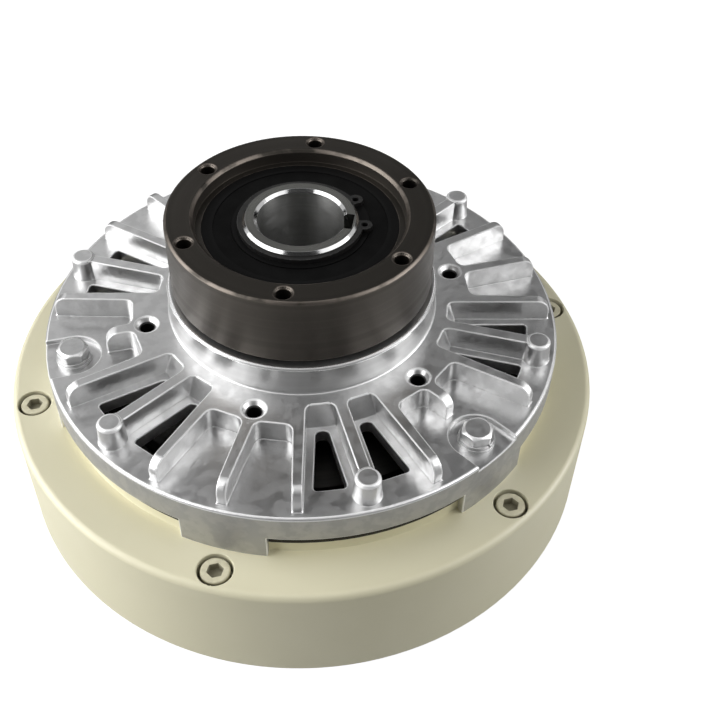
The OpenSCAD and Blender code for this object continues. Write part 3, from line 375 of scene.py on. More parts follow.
@dataclass(frozen=True)
class Finish:
    """A surface finish: its colours, its gloss and the marks in it.

    Colours are linear. A scale is in marks per metre, and a depth is in metres.
    """

    name: str
    slot: str
    color: Color
    shade: Color
    roughness: float
    metallic: float = 0.0
    anisotropic: float = 0.0
    rougher: float = 0.1
    mottle_scale: float = 60.0
    mottle_contrast: float = 0.5
    grain_scale: float = 900.0
    grain_coarse: float = 0.3
    grain_depth: float = 0.02 * MM
    lines: float = 0.0
    line_depth: float = 0.0
    # The fields below give the rounded edges their own colour, gloss and metal: partly wear,
    # partly painted highlight.
    rubbed_and_lit: Color | None = None
    rubbed_and_lit_roughness: float = 0.25
    rubbed_and_lit_metallic: float = 1.0
    rubbing_and_highlight: float = 0.7
    rubbing_and_highlight_scale: float = 300.0
    # The two fields below darken inner corners with a colour: painted shade.
    corner_shade_color: Color | None = None
    corner_shade_amount: float = 0.6
    coat: float = 0.0
    coat_roughness: float = 0.2
    specular: float = 0.5

    def material(self) -> bpy.types.Material:
        """Builds the finish as a material, once.

        Returns:
            The material, which is the same one on each call.
        """
        if self.name in MATERIALS:
            return MATERIALS[self.name]
        made = bpy.data.materials.new(self.name)
        MATERIALS[self.name] = made
        made.use_nodes = True
        wiring = Wiring(made.node_tree)
        shader = made.node_tree.nodes["Principled BSDF"]
        shader.inputs["Specular IOR Level"].default_value = self.specular
        shader.inputs["Coat Weight"].default_value = self.coat
        shader.inputs["Coat Roughness"].default_value = self.coat_roughness
        if self.anisotropic:
            shader.inputs["Anisotropic"].default_value = self.anisotropic
            shader.inputs["Anisotropic Rotation"].default_value = QUARTER_TURN
            around = wiring.add("ShaderNodeTangent", direction_type="RADIAL", axis="Z")
            wiring.join(around.outputs[0], shader.inputs["Tangent"])
        self._tint(wiring, shader)
        self._relief(wiring, shader)
        return made

    def _tint(self, wiring: Wiring, shader: bpy.types.Node) -> None:
        """Wires colour, roughness and metal.

        Args:
            wiring: The material's wiring.
            shader: Its Principled BSDF.
        """
        mottle = EFFECTS.place(wiring, Effect.MOTTLE, Scale=self.mottle_scale,
                               Contrast=self.mottle_contrast).outputs["Mask"]
        if self.lines:
            streaks = EFFECTS.place(wiring, Effect.TURNING, Lines=self.lines)
            mottle = wiring.math("MULTIPLY_ADD", streaks.outputs["Streaks"], 0.5,
                                 wiring.math("MULTIPLY", mottle, 0.5))
        color = wiring.mix(mottle, self.color, self.shade)
        rough = wiring.spread(mottle, self.roughness, self.roughness + self.rougher)
        # inner corners are darkened: painted shade
        if self.corner_shade_color:
            corner_shade = EFFECTS.place(wiring, Effect.CORNER_SHADE, Amount=self.corner_shade_amount)
            color = wiring.mix(corner_shade.outputs["Mask"], color, self.corner_shade_color)
        # the rounded edges take a lighter colour: partly wear, partly painted highlight
        if self.rubbed_and_lit:
            rubbing_and_highlight = EFFECTS.place(wiring, Effect.RUBBING_AND_HIGHLIGHT, Scale=self.rubbing_and_highlight_scale,
                                 Amount=self.rubbing_and_highlight).outputs["Mask"]
            color = wiring.mix(rubbing_and_highlight, color, self.rubbed_and_lit)
            rough = wiring.spread(rubbing_and_highlight, rough, self.rubbed_and_lit_roughness)
        if self.rubbed_and_lit and self.metallic != self.rubbed_and_lit_metallic:
            metal = wiring.spread(rubbing_and_highlight, self.metallic, self.rubbed_and_lit_metallic)
            wiring.join(metal, shader.inputs["Metallic"])
        else:
            shader.inputs["Metallic"].default_value = self.metallic
        wiring.join(color, shader.inputs["Base Color"])
        wiring.join(rough, shader.inputs["Roughness"])

    def _relief(self, wiring: Wiring, shader: bpy.types.Node) -> None:
        """Wires the grain and the turning marks as bumps.

        Args:
            wiring: The material's wiring.
            shader: Its Principled BSDF.
        """
        grain = EFFECTS.place(wiring, Effect.GRAIN, Scale=self.grain_scale,
                              Coarse=self.grain_coarse)
        bump = wiring.add("ShaderNodeBump")
        bump.inputs["Distance"].default_value = self.grain_depth
        wiring.join(grain.outputs["Height"], bump.inputs["Height"])
        if self.lines:
            turning = EFFECTS.place(wiring, Effect.TURNING, Lines=self.lines)
            rings = wiring.add("ShaderNodeBump")
            rings.inputs["Distance"].default_value = self.line_depth
            wiring.join(turning.outputs["Height"], rings.inputs["Height"])
            wiring.join(rings.outputs["Normal"], bump.inputs["Normal"])
        wiring.join(bump.outputs["Normal"], shader.inputs["Normal"])


YOKE_PAINT = Finish(
    "cream_paint", "yoke_paint", color=(0.83, 0.79, 0.575), shade=(0.80, 0.76, 0.545),
    roughness=0.38, mottle_scale=18.0, grain_scale=700.0, grain_coarse=0.8,
    grain_depth=0.012 * MM, coat=0.25, coat_roughness=0.3)
# Painted screws: their sockets and the gaps around their heads are darkened as painted shade.
SCREW_PAINT = Finish(
    "screw_paint", "painted_screws", color=(0.78, 0.74, 0.54), shade=(0.68, 0.64, 0.46),
    roughness=0.42, mottle_scale=400.0, grain_depth=0.02 * MM, corner_shade_color=(0.05, 0.042, 0.026),
    corner_shade_amount=0.85)
# Cast aluminium: its light edges are partly wear, partly painted highlight, and its inner corners
# get painted shade.
CAST_ALUMINIUM = Finish(
    "ribbed_casting", "cast_aluminium", color=(0.70, 0.70, 0.70), shade=(0.63, 0.63, 0.63),
    roughness=0.32, rougher=0.08, metallic=1.0, mottle_scale=200.0, mottle_contrast=0.9,
    grain_scale=330.0, grain_coarse=1.4, grain_depth=0.1 * MM, rubbed_and_lit=(0.90, 0.90, 0.90),
    rubbed_and_lit_roughness=0.45, rubbed_and_lit_metallic=0.35, rubbing_and_highlight=1.0, rubbing_and_highlight_scale=500.0,
    corner_shade_color=(0.10, 0.10, 0.10), corner_shade_amount=0.2)
# The rim's side: rougher than the casting, with a darker colour as painted shade.
RIM_IN_SHADE = replace(
    CAST_ALUMINIUM, name="rim_in_shade", color=(0.47, 0.47, 0.47), shade=(0.42, 0.42, 0.42),
    roughness=0.5)
# A near-black copy of the casting inside the tapped holes: painted shade.
TAPPED_SHADE = replace(
    CAST_ALUMINIUM, name="tapped_hole", color=(0.035, 0.035, 0.035), shade=(0.02, 0.02, 0.02),
    roughness=0.45, rubbed_and_lit=(0.08, 0.08, 0.08))
FACED_ALUMINIUM = Finish(
    "faced_aluminium", "cast_aluminium", color=(0.53, 0.53, 0.53), shade=(0.47, 0.47, 0.47),
    roughness=0.33, metallic=1.0, mottle_scale=35.0, grain_scale=900.0, grain_depth=0.012 * MM,
    lines=1800.0, line_depth=0.006 * MM, rubbed_and_lit=(0.95, 0.95, 0.95), rubbing_and_highlight=1.0)
DARK_PHOSPHATE = Finish(
    "dark_phosphate", "dark_phosphated_steel", color=(0.046, 0.041, 0.035),
    shade=(0.036, 0.032, 0.027), roughness=0.36, metallic=0.85, mottle_scale=25.0,
    grain_scale=1500.0, grain_depth=0.012 * MM, lines=1500.0, line_depth=0.005 * MM,
    rubbed_and_lit=(0.14, 0.122, 0.106), rubbed_and_lit_roughness=0.4, rubbing_and_highlight=0.55, rubbing_and_highlight_scale=120.0)
# A lighter copy of the dark phosphate for the flange's walls: painted light.
LIT_PHOSPHATE = replace(
    DARK_PHOSPHATE, name="lit_phosphate", color=(0.088, 0.079, 0.068),
    shade=(0.068, 0.060, 0.052), roughness=0.35)
BORED_STEEL = Finish(
    "bored_steel", "ground_shaft_steel", color=(0.52, 0.52, 0.51), shade=(0.36, 0.36, 0.35),
    roughness=0.28, metallic=1.0, anisotropic=0.9, mottle_scale=130.0, mottle_contrast=0.8,
    grain_scale=1200.0, grain_depth=0.01 * MM, lines=1400.0, line_depth=0.006 * MM,
    rubbed_and_lit=(0.45, 0.45, 0.45), rubbed_and_lit_roughness=0.12, rubbing_and_highlight=1.0)
# A darker copy of the shaft's steel for its outer faces: painted shade; the bore keeps the lighter
# one.
SHADED_SHAFT_STEEL = Finish(
    "shaded_shaft_steel", "ground_shaft_steel", color=(0.17, 0.17, 0.16), shade=(0.14, 0.14, 0.13),
    roughness=0.24, metallic=1.0, mottle_scale=40.0, grain_scale=2200.0, grain_depth=0.004 * MM,
    lines=2600.0, line_depth=0.004 * MM, rubbed_and_lit=(0.45, 0.45, 0.45), rubbed_and_lit_roughness=0.15, rubbing_and_highlight=1.0)
TURNED_STEEL = Finish(
    "lathe_steel", "turned_steel", color=(0.34, 0.34, 0.34), shade=(0.28, 0.28, 0.28),
    roughness=0.34, metallic=1.0, mottle_scale=40.0, grain_scale=1200.0, lines=1500.0,
    line_depth=0.01 * MM)
# A darker copy of the turned steel for surfaces deep inside the brake: painted shade.
SHADED_STEEL = Finish(
    "shaded_steel", "turned_steel", color=(0.050, 0.048, 0.045), shade=(0.032, 0.031, 0.029),
    roughness=0.42, metallic=0.9, mottle_scale=40.0, grain_scale=1200.0, lines=1200.0,
    line_depth=0.01 * MM)
# Zinc plating: its light edges are partly wear, partly painted highlight, and its inner corners
# get painted shade.
PLATED_STEEL = Finish(
    "zinc_plating", "plated_steel", color=(0.64, 0.64, 0.64), shade=(0.56, 0.56, 0.56),
    roughness=0.33, metallic=1.0, mottle_scale=350.0, grain_scale=1500.0, grain_depth=0.02 * MM,
    rubbed_and_lit=(0.9, 0.9, 0.9), rubbing_and_highlight=1.0, rubbed_and_lit_metallic=0.5, corner_shade_color=(0.12, 0.12, 0.12), corner_shade_amount=0.35)
BLACK_SPRING = Finish(
    "black_spring", "spring_steel", color=(0.018, 0.017, 0.016), shade=(0.011, 0.011, 0.011),
    roughness=0.35, metallic=0.3, mottle_scale=300.0, rubbed_and_lit=(0.16, 0.16, 0.16), rubbing_and_highlight=0.5)
BLACK_OXIDE = Finish(
    "black_oxide", "black_screws", color=(0.020, 0.020, 0.020), shade=(0.012, 0.012, 0.012),
    roughness=0.4, metallic=0.5, mottle_scale=300.0)
BUSH_RUBBER = Finish(
    "moulded_rubber", "bush_rubber", color=(0.014, 0.014, 0.014), shade=(0.008, 0.008, 0.008),
    roughness=0.55, mottle_scale=90.0, grain_scale=1300.0, specular=0.35)
BLACK_RUBBER = Finish(
    "black_rubber", "seal_rubber", color=(0.006, 0.006, 0.006), shade=(0.004, 0.004, 0.004),
    roughness=0.42, mottle_scale=120.0, grain_scale=1500.0, grain_depth=0.01 * MM, specular=0.05)
# A near-black copy of the bearing steel for the front shaft bearing's races: painted shade.
SHADED_RACE = Finish(
    "shaded_race", "bearing_steel", color=(0.008, 0.008, 0.008), shade=(0.005, 0.005, 0.005),
    roughness=0.34, metallic=0.0, specular=0.06, lines=3000.0, line_depth=0.002 * MM)
RACE_STEEL = Finish(
    "race_steel", "bearing_steel", color=(0.55, 0.55, 0.55), shade=(0.48, 0.48, 0.48),
    roughness=0.2, metallic=1.0, grain_depth=0.003 * MM, lines=3000.0, line_depth=0.002 * MM)
CAGE_BRASS = Finish(
    "pressed_brass", "cage_brass", color=(0.60, 0.42, 0.16), shade=(0.48, 0.33, 0.12),
    roughness=0.32, metallic=1.0, mottle_scale=150.0)
SPACER_BRONZE = Finish(
    "turned_bronze", "spacer_bronze", color=(0.50, 0.34, 0.15), shade=(0.42, 0.28, 0.12),
    roughness=0.36, metallic=1.0, lines=1500.0, line_depth=0.01 * MM)
ENAMELLED_COPPER = Finish(
    "enamelled_copper", "winding_copper", color=(0.45, 0.16, 0.06), shade=(0.32, 0.10, 0.04),
    roughness=0.3, metallic=0.8, lines=1250.0, line_depth=0.25 * MM, coat=0.6)
MOULDED_BLACK = Finish(
    "moulded_black", "moulded_former", color=(0.020, 0.022, 0.024), shade=(0.014, 0.015, 0.017),
    roughness=0.45, grain_scale=1100.0)
IRON_POWDER = Finish(
    "loose_powder", "iron_powder", color=(0.050, 0.050, 0.050), shade=(0.024, 0.024, 0.024),
    roughness=0.7, metallic=0.6, mottle_scale=1500.0, mottle_contrast=0.9, grain_scale=4000.0,
    grain_depth=0.15 * MM)


@dataclass(frozen=True)
class Rounding:
    """How the edges of a copied solid are rounded.

    Attributes:
        radius: The edge's round in metres.
        steps: Facets across the round.
        least_turn: Edges that turn less than this many degrees stay as they are.
        most_turn: So do edges that turn more than this many.
        seam: Height in metres of a closed joint, whose edges stay sharp.
        chamfer: Width in metres of the widest chamfer that gets the edges' wear and painted
            highlight as one line.
        inside: How far from the yoke's middle and from the axis the edges stay sharp.
    """

    radius: float
    steps: int = 2
    least_turn: float = 28.0
    most_turn: float = 150.0
    seam: float | None = None
    chamfer: float = 1.5 * MM
    inside: tuple[float, float] = (0.0, 0.0)

    def takes(self, edge: bmesh.types.BMEdge) -> bool:
        """Says whether an edge is rounded.

        Args:
            edge: An edge of the merged mesh.

        Returns:
            True where the edge gets the round.
        """
        if len(edge.link_faces) != 2:
            return False
        if not self.least_turn <= math.degrees(edge.calc_face_angle(0.0)) <= self.most_turn:
            return False
        depth, reach = self.inside
        if all(abs(v.co.z - YOKE_MIDDLE) < depth and v.co.xy.length < reach
               for v in edge.verts):
            return False
        return self.seam is None or any(abs(v.co.z - self.seam) > SLACK for v in edge.verts)


def merged_faces(node: str) -> bmesh.types.BMesh:
    """Copies a node's mesh with its split corners joined and its flat faces whole.

    Args:
        node: The CAD node's name.

    Returns:
        The mesh, which the caller frees.
    """
    mesh = bmesh.new()
    mesh.from_mesh(frame["nodes"][node].data)
    bmesh.ops.remove_doubles(mesh, verts=mesh.verts, dist=WELD)
    bmesh.ops.dissolve_limit(mesh, angle_limit=math.radians(FLAT_TURN), verts=mesh.verts,
                             edges=mesh.edges, use_dissolve_boundaries=False)
    return mesh


def rounded(node: str, rounding: Rounding) -> bmesh.types.BMesh:
    """Copies a node's mesh and rounds its edges.

    Args:
        node: The CAD node's name.
        rounding: How its edges are rounded.

    Returns:
        The mesh with a layer that marks the rounds.
    """
    mesh = merged_faces(node)
    mark = mesh.faces.layers.float.new(BEVEL_MARK)
    sharp = [edge for edge in mesh.edges if rounding.takes(edge)]
    made = bmesh.ops.bevel(mesh, geom=sharp, offset=rounding.radius, offset_type="OFFSET",
                           segments=rounding.steps, profile=0.5, affect="EDGES",
                           clamp_overlap=False)
    for face in made["faces"]:
        face[mark] = float(sum(edge.calc_face_angle_signed(0.0) for edge in face.edges) > 0.0)
    mark_chamfers(mesh, mark, rounding.chamfer)
    return mesh


def mark_chamfers(mesh: bmesh.types.BMesh, mark: bmesh.types.BMLayerItem, widest: float) -> None:
    """Marks the narrow strips between two rounds, so that a chamfer gets the edges' wear and
    painted highlight as one line.

    Args:
        mesh: The rounded mesh.
        mark: Its layer of faces that get the wear and painted highlight.
        widest: The width of the widest chamfer in metres.
    """
    chamfers = []
    for face in mesh.faces:
        if face[mark] or not SLANTED[0] < abs(face.normal.z) < SLANTED[1]:
            continue
        rims = sum(edge.calc_length() for edge in face.edges
                   if any(other[mark] for other in edge.link_faces))
        # a strip's width is its area over the length of one of its two rims
        if face.calc_area() < widest * rims / 2:
            chamfers.append(face)
    for face in chamfers:
        face[mark] = 1.0


def as_object(name: str, mesh: bmesh.types.BMesh, smooth_below: float = 32.0) -> bpy.types.Object:
    """Makes an object of a mesh, smooth where it turns little.

    Args:
        name: The object's name.
        mesh: The mesh, which is freed.
        smooth_below: Edges that turn more than this many degrees stay sharp.

    Returns:
        The object.
    """
    turn = math.radians(smooth_below)
    for face in mesh.faces:
        face.smooth = True
    for edge in mesh.edges:
        edge.smooth = len(edge.link_faces) == 2 and edge.calc_face_angle(0.0) < turn
    data = bpy.data.meshes.new(name)
    mesh.to_mesh(data)
    mesh.free()
    made = bpy.data.objects.new(name, data)
    bpy.context.scene.collection.objects.link(made)
    weighted = made.modifiers.new("weighted_normals", "WEIGHTED_NORMAL")
    weighted.keep_sharp = True
    weighted.weight = NORMAL_WEIGHT
    return made


@dataclass
class Part:
    """One CAD node with its finish, and the round of its edges where it is copied."""

    node: str
    finish: Finish
    rounding: Rounding | None = None

    def dress(self) -> bpy.types.Object:
        """Gives the node its finish, on a copy with rounded edges where it has a rounding.

        Returns:
            The object that shows.
        """
        if self.rounding is None:
            shown = frame["nodes"][self.node]
            shown.data.materials.clear()
        else:
            shown = as_object(self.node + "_shown", rounded(self.node, self.rounding))
            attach(shown, frame["nodes"][self.node]["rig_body"])
            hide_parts(self.node)
        shown.data.materials.append(self.finish.material())
        LOG.info("%s in %s", shown.name, self.finish.name)
        return shown


def refinish(shown: bpy.types.Object, finish: Finish, far: float, near: float = 0.0,
             axes: tuple[Vector, ...] = (Vector((0.0, 0.0)),),
             heights: tuple[float, float] = (-OUTSIDE, OUTSIDE)) -> None:
    """Gives another finish to the surfaces that stay within a distance of an upright axis.

    Args:
        shown: The dressed object.
        finish: The finish for them.
        far: How far from the axis they may reach, in metres.
        near: How close to it they may come.
        axes: Where the axes stand. The shaft's is the only one if none is given.
        heights: The heights between which they stay.
    """
    shown.data.materials.append(finish.material())
    corners = [vertex.co for vertex in shown.data.vertices]
    for face in shown.data.polygons:
        levels = [corners[i].z for i in face.vertices]
        if min(levels) < heights[0] - SLACK or max(levels) > heights[1] + SLACK:
            continue
        for axis in axes:
            reach = [(corners[i].xy - axis).length for i in face.vertices]
            if near < min(reach) and max(reach) < far:
                face.material_index = len(shown.data.materials) - 1


def cut_across(shown: bpy.types.Object, height: float) -> None:
    """Cuts a copied node's faces at a height, so that a finish can end there.

    Args:
        shown: The copy.
        height: The height in metres.
    """
    mesh = bmesh.new()
    mesh.from_mesh(shown.data)
    bmesh.ops.bisect_plane(mesh, geom=[*mesh.verts, *mesh.edges, *mesh.faces], dist=0.001 * MM,
                           plane_co=(0.0, 0.0, height), plane_no=(0.0, 0.0, 1.0))
    mesh.to_mesh(shown.data)
    mesh.free()


def around(radius: float, count: int, first: float = 0.0) -> tuple[Vector, ...]:
    """Places axes evenly on a circle around the shaft.

    Args:
        radius: The circle's radius in metres.
        count: How many axes stand on it.
        first: The first one's angle in degrees from +X.

    Returns:
        Where they stand.
    """
    turns = [math.radians(first + i * 360.0 / count) for i in range(count)]
    return tuple(Vector((radius * math.cos(a), radius * math.sin(a))) for a in turns)


CAST_EDGE = Rounding(0.45 * MM, chamfer=0.0, inside=(39.0 * MM, 90.6 * MM))
TURNED_EDGE = Rounding(0.25 * MM)
SMALL_EDGE = Rounding(0.12 * MM)
KEYED_EDGE = Rounding(0.06 * MM)


@dataclass
class Yoke:
    """The painted magnet body with its coil.

    Attributes:
        paint_edge: The round that the paint leaves on the edges.
        screw_edge: The round of the painted screws' edges.
        grommet_edge: The round of the lead's grommet.
        paint_reach: Distance from the axis within which the steel is unpainted and darkened as
            painted shade of the inside.
        step_reach: Distance from the axis that takes in the steps under the covers' skirts.
        gap_shade_heights: Heights beyond which the steps' walls get the darker steel, a painted
            shadow of the gap under the covers' skirts.
    """

    paint_edge: Rounding = Rounding(0.5 * MM, least_turn=45.0, seam=YOKE_MIDDLE)
    screw_edge: Rounding = Rounding(0.2 * MM)
    grommet_edge: Rounding = Rounding(0.3 * MM)
    paint_reach: float = 90.7 * MM
    step_reach: float = 91.3 * MM
    gap_shade_heights: tuple[float, float] = (36.3 * MM, 89.7 * MM)

    def dress(self) -> None:
        """Dresses the yoke halves, what they hold and their screws."""
        for side in ("front", "rear"):
            half = Part(f"yoke_{side}_half", YOKE_PAINT, self.paint_edge).dress()
            # the faces inside the yoke get the darker steel: painted shade
            refinish(half, SHADED_STEEL, far=self.paint_reach)
            # a dark band high and low on each step's wall paints the shadow of the gap under a
            # cover's skirt
            low, high = self.gap_shade_heights
            for level, shaded_span in ((low, (-OUTSIDE, low)), (high, (high, OUTSIDE))):
                cut_across(half, level)
                refinish(half, SHADED_STEEL, far=self.step_reach, heights=shaded_span)
        Part("yoke_screws", SCREW_PAINT, self.screw_edge).dress()
        Part("field_coil", ENAMELLED_COPPER).dress()
        Part("coil_bobbin", MOULDED_BLACK).dress()
        Part("pole_spacer", SPACER_BRONZE).dress()
        Part("lead_grommet", BUSH_RUBBER, self.grommet_edge).dress()


@dataclass
class Covers:
    """The two ribbed covers with their bolts.

    Attributes:
        pilot_reach: Distance from the axis within which a cover is machined.
        rim_reach: Distance from the axis beyond which it is the rim's side, which is rougher and
            has a darker colour as painted shade.
        tapped_holes: How many tapped holes a cover has.
        tapped_ring: Radius of the circle on which they stand.
        tapped_reach: Radius within which a tapped hole is darkened as painted shade.
    """

    pilot_reach: float = 48.6 * MM
    rim_reach: float = 93.6 * MM
    tapped_holes: int = 6
    tapped_ring: float = 57.0 * MM
    tapped_reach: float = 3.3 * MM

    def dress(self) -> None:
        """Dresses both covers and their fasteners."""
        holes = around(self.tapped_ring, self.tapped_holes)
        for side in ("front", "rear"):
            cover = Part(f"{side}_cover", CAST_ALUMINIUM, CAST_EDGE).dress()
            refinish(cover, FACED_ALUMINIUM, far=self.pilot_reach)
            # the rim's side is rougher and darkened: painted shade
            refinish(cover, RIM_IN_SHADE, far=OUTSIDE, near=self.rim_reach)
            # the tapped holes are darkened: painted shade
            refinish(cover, TAPPED_SHADE, far=self.tapped_reach, axes=holes)
            for kind in ("cover_bolts", "spring_washers", "flat_washers"):
                Part(f"{side}_{kind}", PLATED_STEEL, SMALL_EDGE).dress()


@dataclass
class Bearings:
    """The four deep-groove bearings with their circlips."""

    def dress(self) -> None:
        """Dresses races, balls, cages, seals and circlips."""
        for kind in ("main", "shaft"):
            for side in ("front", "rear"):
                # the front shaft bearing's races take the near-black copy: painted shade
                races = SHADED_RACE if (kind, side) == ("shaft", "front") else RACE_STEEL
                Part(f"{side}_{kind}_outer_race", races).dress()
                Part(f"{side}_{kind}_inner_race", races).dress()
                Part(f"{side}_{kind}_balls", RACE_STEEL).dress()
                Part(f"{side}_{kind}_cage", CAGE_BRASS).dress()
                Part(f"{side}_{kind}_seals", BLACK_RUBBER).dress()
        for node in ("front_main_retainer", "rear_main_retainer", "rear_shaft_retainer"):
            Part(node, BLACK_SPRING).dress()


@dataclass
class DriveRotor:
    """The member that turns in the covers: flange, end plates and drum.

    Attributes:
        flange_wall: Distance from the axis beyond which it is the flange's outer wall, which takes
            a lighter copy of the phosphate as painted light.
        recess_wall: Distances from the axis between which the recess's wall lies, which takes the
            same lighter copy.
    """

    flange_wall: float = 46.3 * MM
    recess_wall: tuple[float, float] = (36.1 * MM, 36.7 * MM)

    def dress(self) -> None:
        """Dresses the flange, the plates, the drum, the seals and the powder."""
        flange = Part("drive_flange", DARK_PHOSPHATE, TURNED_EDGE).dress()
        # the flange's walls take the lighter copy: painted light
        refinish(flange, LIT_PHOSPHATE, far=OUTSIDE, near=self.flange_wall)
        near, far = self.recess_wall
        refinish(flange, LIT_PHOSPHATE, far=far, near=near)
        Part("rear_end_plate", TURNED_STEEL, TURNED_EDGE).dress()
        # the inner plates and the drum's rings get the darker steel: painted shade
        for node in ("front_end_plate", "drum_front_ring", "drum_rear_ring"):
            Part(node, SHADED_STEEL).dress()
        Part("drum_isolating_ring", SPACER_BRONZE).dress()
        for node in ("flange_screws", "front_drum_screws", "rear_drum_screws"):
            Part(node, BLACK_OXIDE).dress()
        for node in ("front_powder_seal", "rear_powder_seal"):
            Part(node, BLACK_RUBBER).dress()
        Part("magnetic_powder", IRON_POWDER).dress()


@dataclass
class DrivenRotor:
    """The member that turns with the machine's shaft.

    Attributes:
        bore_reach: Distance from the axis within which the shaft is bored.
    """

    bore_reach: float = 16.6 * MM

    def dress(self) -> None:
        """Dresses the hollow shaft, the rotor and what holds them."""
        # the shaft's outer faces take the darker copy of its steel: painted shade
        shaft = Part("hollow_shaft", SHADED_SHAFT_STEEL, KEYED_EDGE).dress()
        refinish(shaft, BORED_STEEL, far=self.bore_reach)
        Part("inner_rotor", TURNED_STEEL).dress()
        Part("rotor_key", TURNED_STEEL).dress()
        Part("front_shaft_circlip", BLACK_SPRING, SMALL_EDGE).dress()
        Part("shaft_circlips", BLACK_SPRING).dress()


def direction(azimuth: float, elevation: float) -> Vector:
    """Gives the direction from the part, where azimuth 0 is the front and 90 the right.

    Args:
        azimuth: The turn around the shaft in degrees.
        elevation: The rise above the floor in degrees.

    Returns:
        The direction at a length of 1.
    """
    turn, rise = math.radians(azimuth), math.radians(elevation)
    return Vector((math.sin(turn) * math.cos(rise), -math.cos(turn) * math.cos(rise),
                   math.sin(rise)))


@dataclass(frozen=True)
class Panel:
    """A lamp, or a card that reflections show, facing the part.

    Angles are in degrees, and lengths in metres. A lamp's level is its power in watts,
    and a card's level is how bright it looks in a reflection.
    """

    name: str
    azimuth: float
    elevation: float
    width: float
    height: float
    level: float
    distance: float = 1.0
    target: tuple[float, float, float] = (0.0, 0.0, 0.09)

    def _hang(self, panel: bpy.types.Object) -> None:
        """Puts the panel in its place and turns it to the part.

        Args:
            panel: The lamp's or the card's object.
        """
        away = direction(self.azimuth, self.elevation)
        panel.location = Vector(self.target) + away * self.distance
        panel.rotation_euler = away.to_track_quat("Z", "Y").to_euler()
        bpy.context.scene.collection.objects.link(panel)

    def light(self) -> None:
        """Hangs the panel as a soft lamp."""
        data = bpy.data.lights.new(self.name, "AREA")
        data.shape = "RECTANGLE"
        data.size, data.size_y, data.energy = self.width, self.height, self.level
        self._hang(bpy.data.objects.new(self.name, data))

    def darken(self) -> None:
        """Hangs the panel as a card that only reflections show."""
        mesh = bmesh.new()
        bmesh.ops.create_grid(mesh, x_segments=1, y_segments=1, size=0.5)
        bmesh.ops.scale(mesh, vec=(self.width, self.height, 1.0), verts=mesh.verts)
        data = bpy.data.meshes.new(self.name)
        mesh.to_mesh(data)
        mesh.free()
        card = bpy.data.objects.new(self.name, data)
        made = bpy.data.materials.new(self.name)
        made.use_nodes = True
        shader = made.node_tree.nodes["Principled BSDF"]
        shader.inputs["Base Color"].default_value = (0.0, 0.0, 0.0, 1.0)
        shader.inputs["Specular IOR Level"].default_value = 0.0
        shader.inputs["Emission Color"].default_value = (1.0, 1.0, 1.0, 1.0)
        shader.inputs["Emission Strength"].default_value = self.level
        data.materials.append(made)
        card.visible_camera = card.visible_diffuse = card.visible_shadow = False
        card.visible_transmission = card.visible_volume_scatter = False
        self._hang(card)


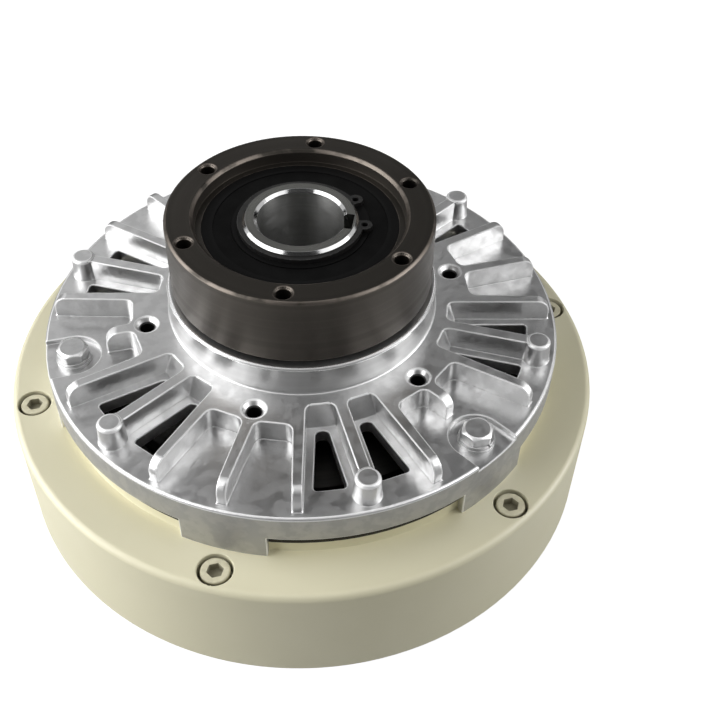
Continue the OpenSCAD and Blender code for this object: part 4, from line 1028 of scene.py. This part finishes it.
@dataclass
class Studio:
    """Floor, lamps, cards, world and camera.

    Distances are in metres and angles in degrees.
    """

    camera_place: tuple[float, float, float] = (-0.06413, -0.28691, 0.37981)
    camera_aim: tuple[float, float, float] = (0.01885, -0.00556, 0.08497)
    camera_roll: float = 1.196
    lens: float = 54.65
    sensor: float = 36.0
    nearest: float = 0.01
    ambient: float = 0.05
    floor_size: float = 6.0
    floor_cells: int = 8
    floor_shade: float = 0.35
    floor_roughness: float = 0.9
    floor_glow: float = 0.9
    floor_mirrored: float = 0.15
    lamps: tuple[Panel, ...] = (
        Panel("left_lamp", azimuth=-95.0, elevation=13.0, width=0.85, height=0.42, level=5.4,
              distance=0.8),
        Panel("left_high_lamp", azimuth=-95.0, elevation=45.0, width=0.85, height=0.42, level=3.5,
              distance=0.8),
        Panel("right_lamp", azimuth=70.0, elevation=16.0, width=0.45, height=0.45, level=2.5,
              distance=0.8),
        Panel("right_high_lamp", azimuth=57.0, elevation=45.0, width=0.6, height=0.45, level=1.3,
              distance=0.8),
    )
    cards: tuple[Panel, ...] = (
        Panel("high_card", azimuth=165.0, elevation=63.0, width=1.6, height=0.42, level=0.0),
        Panel("low_card", azimuth=165.0, elevation=12.0, width=3.0, height=0.45, level=0.0),
        Panel("right_card", azimuth=145.0, elevation=38.0, width=0.28, height=0.46, level=0.0),
        Panel("grey_card", azimuth=175.0, elevation=38.0, width=0.57, height=0.46, level=0.69,
              distance=1.05),
        Panel("front_low_card", azimuth=-10.0, elevation=15.0, width=2.9, height=0.73, level=0.3,
              distance=1.2),
        Panel("front_high_card", azimuth=-10.0, elevation=51.0, width=1.9, height=0.82, level=0.55,
              distance=1.2),
        Panel("camera_card", azimuth=-13.0, elevation=44.0, width=0.95, height=0.6, level=0.03,
              distance=0.95),
    )

    def build(self) -> None:
        """Builds the studio and sets the view's colours."""
        self._camera()
        self._world()
        self._floor()
        for lamp in self.lamps:
            lamp.light()
        for card in self.cards:
            card.darken()
        bpy.context.scene.view_settings.view_transform = "Standard"

    def _camera(self) -> None:
        """Sets the camera as the photograph's was."""
        data = bpy.data.cameras.new("camera")
        data.lens = self.lens
        data.sensor_width = self.sensor
        data.clip_start = self.nearest
        camera = bpy.data.objects.new("camera", data)
        place, aim = Vector(self.camera_place), Vector(self.camera_aim)
        look = (aim - place).to_track_quat("-Z", "Y").to_matrix().to_4x4()
        roll = Matrix.Rotation(math.radians(self.camera_roll), 4, "Z")
        camera.matrix_world = Matrix.Translation(place) @ look @ roll
        bpy.context.scene.collection.objects.link(camera)
        bpy.context.scene.camera = camera

    def _world(self) -> None:
        """Makes the world white where it is seen and softer as a light."""
        world = bpy.data.worlds.new("studio")
        world.use_nodes = True
        bpy.context.scene.world = world
        wiring = Wiring(world.node_tree)
        background = world.node_tree.nodes["Background"]
        background.inputs["Color"].default_value = (1.0, 1.0, 1.0, 1.0)
        path = wiring.add("ShaderNodeLightPath")
        seen = wiring.math("MAXIMUM", path.outputs["Is Glossy Ray"], self._straight(wiring, path))
        wiring.join(wiring.spread(seen, self.ambient, 1.0), background.inputs["Strength"])

    def _straight(self, wiring: Wiring, path: bpy.types.Node) -> bpy.types.NodeSocket:
        """Says whether a ray sees the background directly or through glass."""
        return wiring.math("MAXIMUM", path.outputs["Is Camera Ray"],
                           path.outputs["Is Transmission Ray"])

    def _floor(self) -> None:
        """Lays a pale floor that shows as white and keeps the shadow."""
        mesh = bmesh.new()
        bmesh.ops.create_grid(mesh, x_segments=self.floor_cells, y_segments=self.floor_cells,
                              size=self.floor_size / 2)
        data = bpy.data.meshes.new("floor")
        mesh.to_mesh(data)
        mesh.free()
        floor = bpy.data.objects.new("floor", data)
        bpy.context.scene.collection.objects.link(floor)
        paper = bpy.data.materials.new("white_paper")
        paper.use_nodes = True
        wiring = Wiring(paper.node_tree)
        shader = paper.node_tree.nodes["Principled BSDF"]
        shader.inputs["Base Color"].default_value = (*[self.floor_shade] * 3, 1.0)
        shader.inputs["Roughness"].default_value = self.floor_roughness
        shader.inputs["Emission Color"].default_value = (1.0, 1.0, 1.0, 1.0)
        path = wiring.add("ShaderNodeLightPath")
        mirrored = wiring.math("MULTIPLY", path.outputs["Is Glossy Ray"], self.floor_mirrored)
        glow = wiring.math("MULTIPLY_ADD", self._straight(wiring, path), self.floor_glow, mirrored)
        wiring.join(glow, shader.inputs["Emission Strength"])
        floor.data.materials.append(paper)


def main() -> None:
    """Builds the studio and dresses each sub-assembly."""
    logging.basicConfig(level=logging.INFO, format="%(name)s: %(message)s")
    for assembly in (Yoke(), Covers(), Bearings(), DriveRotor(), DrivenRotor()):
        assembly.dress()
    Studio().build()


if __name__ == "__main__":
    main()
